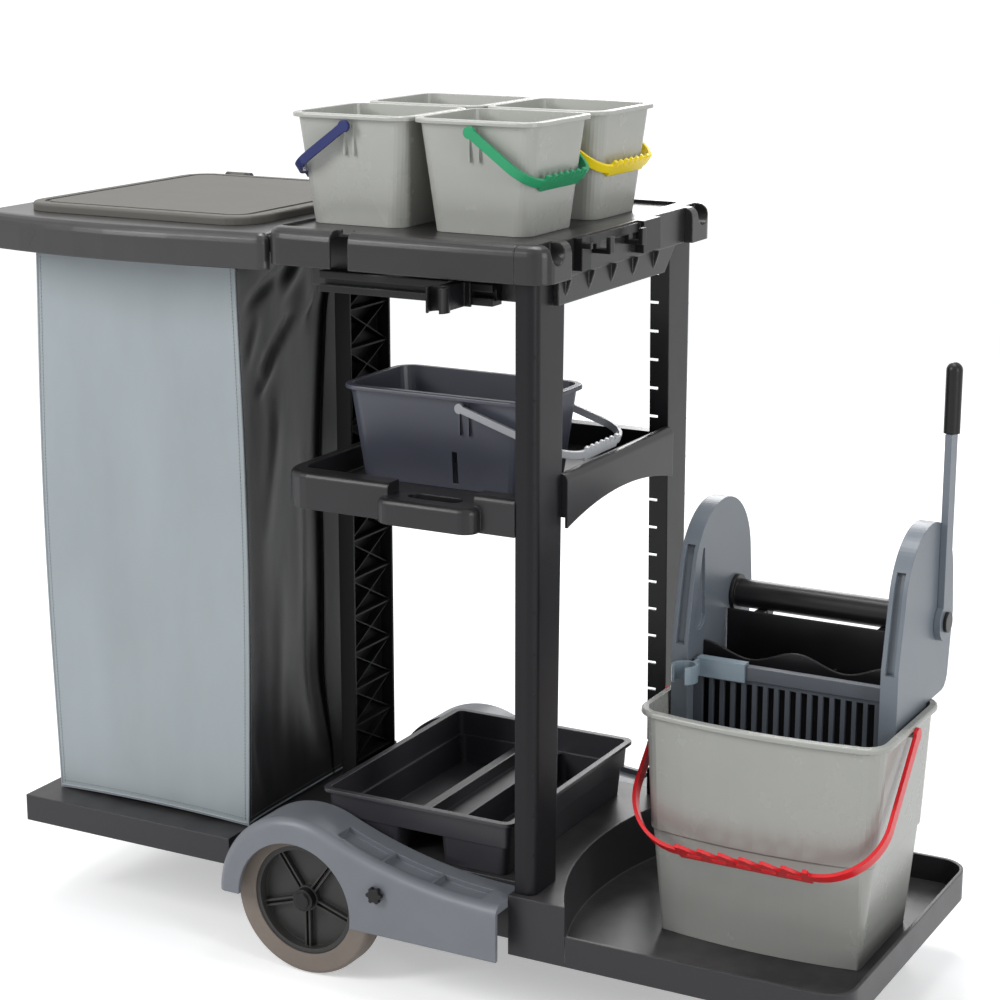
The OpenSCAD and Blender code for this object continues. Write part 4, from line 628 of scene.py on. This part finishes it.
# place of a point on one side of the bag, from its side share and height share
def bagPlace(side, s, t):
    lo, hi = bagLow, bagHigh
    cx, cy = (lo[0] + hi[0]) / 2, (lo[1] + hi[1]) / 2
    swellEnd, swellPower = wasteBag["swellForm"]
    swell = wasteBag["swell"] * math.sin(math.pi * min(1.0, t * swellEnd)) ** swellPower
    halfX, halfY = (hi[0] - lo[0]) / 2 + swell, (hi[1] - lo[1]) / 2
    footGap, mouthGap = wasteBag["footGap"], wasteBag["mouthGap"]
    z = lo[2] + footGap + (hi[2] - lo[2] - footGap - mouthGap) * t
    calmLow, calmHigh = wasteBag["calm"]
    calm = smoothStep(0.0, calmLow, t) * smoothStep(1.0, calmHigh, t)
    seed = wasteBag["seeds"][side]
    if side in ("front", "rear"):
        way = -1 if side == "front" else 1
        edge = 1 - abs(s) ** wasteBag["flatEdge"]["panel"]
        hollow = wasteBag["panelHollow"] * (1 - s * s)
        out = (waveHeight(wasteBag["panelWaves"], s, t, seed) - hollow) * calm * edge
        footLift, footFade = wasteBag["panelFoot"]
        rise = footLift * (1 - t) ** footFade * (1 - s * s)
        x = cx + (-s if side == "rear" else s) * halfX
        return Vector((x, cy + way * (halfY + out), z + rise))
    way = 1 if side == "right" else -1
    s, inward = gussetFold(way * s, t)
    s *= way
    edge = 1 - abs(s) ** wasteBag["flatEdge"]["gusset"]
    streak = waveHeight(wasteBag["gussetWaves"], s, t, seed)
    out = (streak + creaseHeight(s, t, side == "left")) * calm * edge
    low, more, start, end = wasteBag["gussetHollow"]
    hollow = (low + more * smoothStep(start, end, t)) * edge
    x = cx + way * (halfX - inward + out - hollow)
    y = cy + way * s * halfY
    return Vector((x, y, z))


# what the bag's cloths have in common: noise span, colour and roughness spread, bumps and sheen; the colour
# follows the crease relief, darker in its hollows as painted shade and lighter on its ridges as painted sheen
clothShared = {"thread": 0.0014, "crease": 0.14, "span": (0.3, 0.7), "shadeAndSheenTones": (0.93, 1.06),
               "glossSpread": (0.05, 0.06), "softBump": (0.3, 0.006), "threadBump": (0.25, 0.0002),
               "sheenRough": 0.4}


def setBump(node, strength, distance):
    node.inputs["Strength"].default_value = strength
    node.inputs["Distance"].default_value = distance


def clothFinish(name, color, gloss, shine=0.5, sheen=0.15):
    mat = bpy.data.materials.new(name)
    mat.use_nodes = True
    tree = mat.node_tree
    skin = tree.nodes["Principled BSDF"]
    base = fromScreen(*color)
    weave = useGroup(tree, "clothWeave", Thread=clothShared["thread"],
                     **{"Crease Size": clothShared["crease"]})
    # crease hollows painted darker as painted shade, crease ridges painted lighter as painted sheen
    crease = rangeNode(tree, weave.outputs["Crease"], *clothShared["span"])
    dark, light = (shaded(base, tone) for tone in clothShared["shadeAndSheenTones"])
    tree.links.new(mixColor(tree, crease, dark, light), skin.inputs["Base Color"])
    less, more = clothShared["glossSpread"]
    rough = rangeNode(tree, weave.outputs["Crease"], *clothShared["span"], gloss - less, gloss + more)
    tree.links.new(rough, skin.inputs["Roughness"])
    soft = tree.nodes.new("ShaderNodeBump")
    setBump(soft, *clothShared["softBump"])
    tree.links.new(weave.outputs["Crease"], soft.inputs["Height"])
    thread = tree.nodes.new("ShaderNodeBump")
    setBump(thread, *clothShared["threadBump"])
    tree.links.new(weave.outputs["Height"], thread.inputs["Height"])
    tree.links.new(soft.outputs["Normal"], thread.inputs["Normal"])
    tree.links.new(thread.outputs["Normal"], skin.inputs["Normal"])
    skin.inputs["Sheen Weight"].default_value = sheen
    skin.inputs["Sheen Roughness"].default_value = clothShared["sheenRough"]
    skin.inputs["Specular IOR Level"].default_value = shine
    return mat


def makeBag():
    rows = wasteBag["rows"]
    panel = [-1 + 2 * i / wasteBag["panelSteps"] for i in range(wasteBag["panelSteps"])]
    gusset = gussetShares()
    back = [-1.0] + [-q for q in gusset[:0:-1]]
    sides = (("front", panel, 0), ("right", gusset, 1), ("rear", panel, 0), ("left", back, 1))
    bm = bmesh.new()
    ringSides = []
    for side, shares, slotIndex in sides:
        ringSides += [(side, s, slotIndex) for s in shares]
    rings = [[bm.verts.new(bagPlace(side, s, r / rows)) for side, s, _ in ringSides] for r in range(rows + 1)]
    count = len(ringSides)
    for r in range(rows):
        for i in range(count):
            j = (i + 1) % count
            face = bm.faces.new((rings[r][i], rings[r][j], rings[r + 1][j], rings[r + 1][i]))
            face.material_index = ringSides[i][2]
            face.smooth = True
    # foot, closed by a fan about its middle
    lo, hi = bagLow, bagHigh
    center = bm.verts.new(((lo[0] + hi[0]) / 2, (lo[1] + hi[1]) / 2, lo[2] + wasteBag["footGap"]))
    for i in range(count):
        bm.faces.new((rings[0][(i + 1) % count], rings[0][i], center)).material_index = 1
    mesh = bpy.data.meshes.new("bagShell")
    bm.normal_update()
    bm.to_mesh(mesh)
    bm.free()
    mesh.set_sharp_from_angle(angle=math.radians(wasteBag["sharpTurn"]))
    bag = bpy.data.objects.new("bagShell", mesh)
    scene.collection.objects.link(bag)
    panelCloth = clothFinish("bagPanelCloth", wasteBag["panelColor"], wasteBag["panelGloss"])
    mesh.materials.append(panelCloth)
    mesh.materials.append(clothFinish("bagGussetCloth", wasteBag["gussetColor"], wasteBag["gussetGloss"],
                                      wasteBag["gussetShine"], wasteBag["gussetSheen"]))
    thick = bag.modifiers.new("clothThickness", "SOLIDIFY")
    thick.thickness = wasteBag["cloth"]
    thick.offset = -1
    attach(bag, "frame")
    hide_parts("waste_bag")

    # sewn seams up the corners and round the foot
    curve = bpy.data.curves.new("bagSeams", "CURVE")
    curve.dimensions = "3D"
    curve.bevel_depth = wasteBag["seam"]
    curve.bevel_resolution = wasteBag["seamRound"]
    lines = [[bagPlace(side, -1, r / rows) for r in range(0, rows + 1, wasteBag["seamStep"])]
             for side, _, _ in sides]
    foot = [bagPlace(side, s, wasteBag["footSeamAt"]) for side, s, _ in ringSides]
    lines.append(foot + foot[:1])
    for line in lines:
        spline = curve.splines.new("POLY")
        spline.points.add(len(line) - 1)
        for point, at in zip(spline.points, line):
            point.co = (*at, 1.0)
    seams = bpy.data.objects.new("bagSeams", curve)
    scene.collection.objects.link(seams)
    curve.materials.append(panelCloth)
    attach(seams, "frame")
    return bag, seams


# places and directions of the stitches along a row of points
def bagRow(points):
    pitch = wasteBag["stitch"][1]
    line, run = [], 0.0
    for a, b in zip(points, points[1:]):
        step = (b - a).length
        while run < step:
            line.append((a.lerp(b, run / step), (b - a).normalized()))
            run += pitch
        run -= step
    return line


# rows of stitches beside the corner seams and above the foot
def makeStitches():
    length, _, radius = wasteBag["stitch"]
    start, run = wasteBag["stitchRun"]
    steps = wasteBag["footStitchSteps"]
    rows = wasteBag["rows"]
    halfX, halfY = (bagHigh[0] - bagLow[0]) / 2, (bagHigh[1] - bagLow[1]) / 2
    tracks = []
    for side, half in (("front", halfX), ("right", halfY), ("rear", halfX), ("left", halfY)):
        inShare = 1 - wasteBag["stitchIn"] / half
        for s in (-inShare, inShare):
            tracks.append((side, [bagPlace(side, s, start + run * r / rows) for r in range(rows + 1)]))
        along = [-inShare + 2 * inShare * i / steps for i in range(steps + 1)]
        tracks.append((side, [bagPlace(side, s, start) for s in along]))
    outward = {"front": Vector((0, -1, 0)), "rear": Vector((0, 1, 0)),
               "right": Vector((1, 0, 0)), "left": Vector((-1, 0, 0))}
    bm = bmesh.new()
    for side, points in tracks:
        for at, along in bagRow(points):
            across = along.cross(outward[side]).normalized()
            up = across.cross(along).normalized()
            ends = []
            for place, riseShare, wideShare in wasteBag["stitchForm"]:
                rise, wide = radius * riseShare, radius * wideShare
                mid = at + along * (place * length) + up * rise
                ends.append([bm.verts.new(mid + across * (wide * c) + up * (wide * d))
                             for c, d in ((1, 0), (0, 1), (-1, 0), (0, -1))])
            for a, b in zip(ends, ends[1:]):
                for i in range(4):
                    j = (i + 1) % 4
                    bm.faces.new((a[i], a[j], b[j], b[i])).smooth = True
            bm.faces.new(ends[0][::-1])
            bm.faces.new(ends[-1])
    mesh = bpy.data.meshes.new("bagStitches")
    bm.normal_update()
    bm.to_mesh(mesh)
    bm.free()
    piece = bpy.data.objects.new("bagStitches", mesh)
    scene.collection.objects.link(piece)
    mesh.materials.append(clothFinish("stitchThread", wasteBag["threadColor"], wasteBag["threadGloss"]))
    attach(piece, "frame")
    return piece


bagShell, bagSeams = makeBag()
makeStitches()
print("bag sewn")
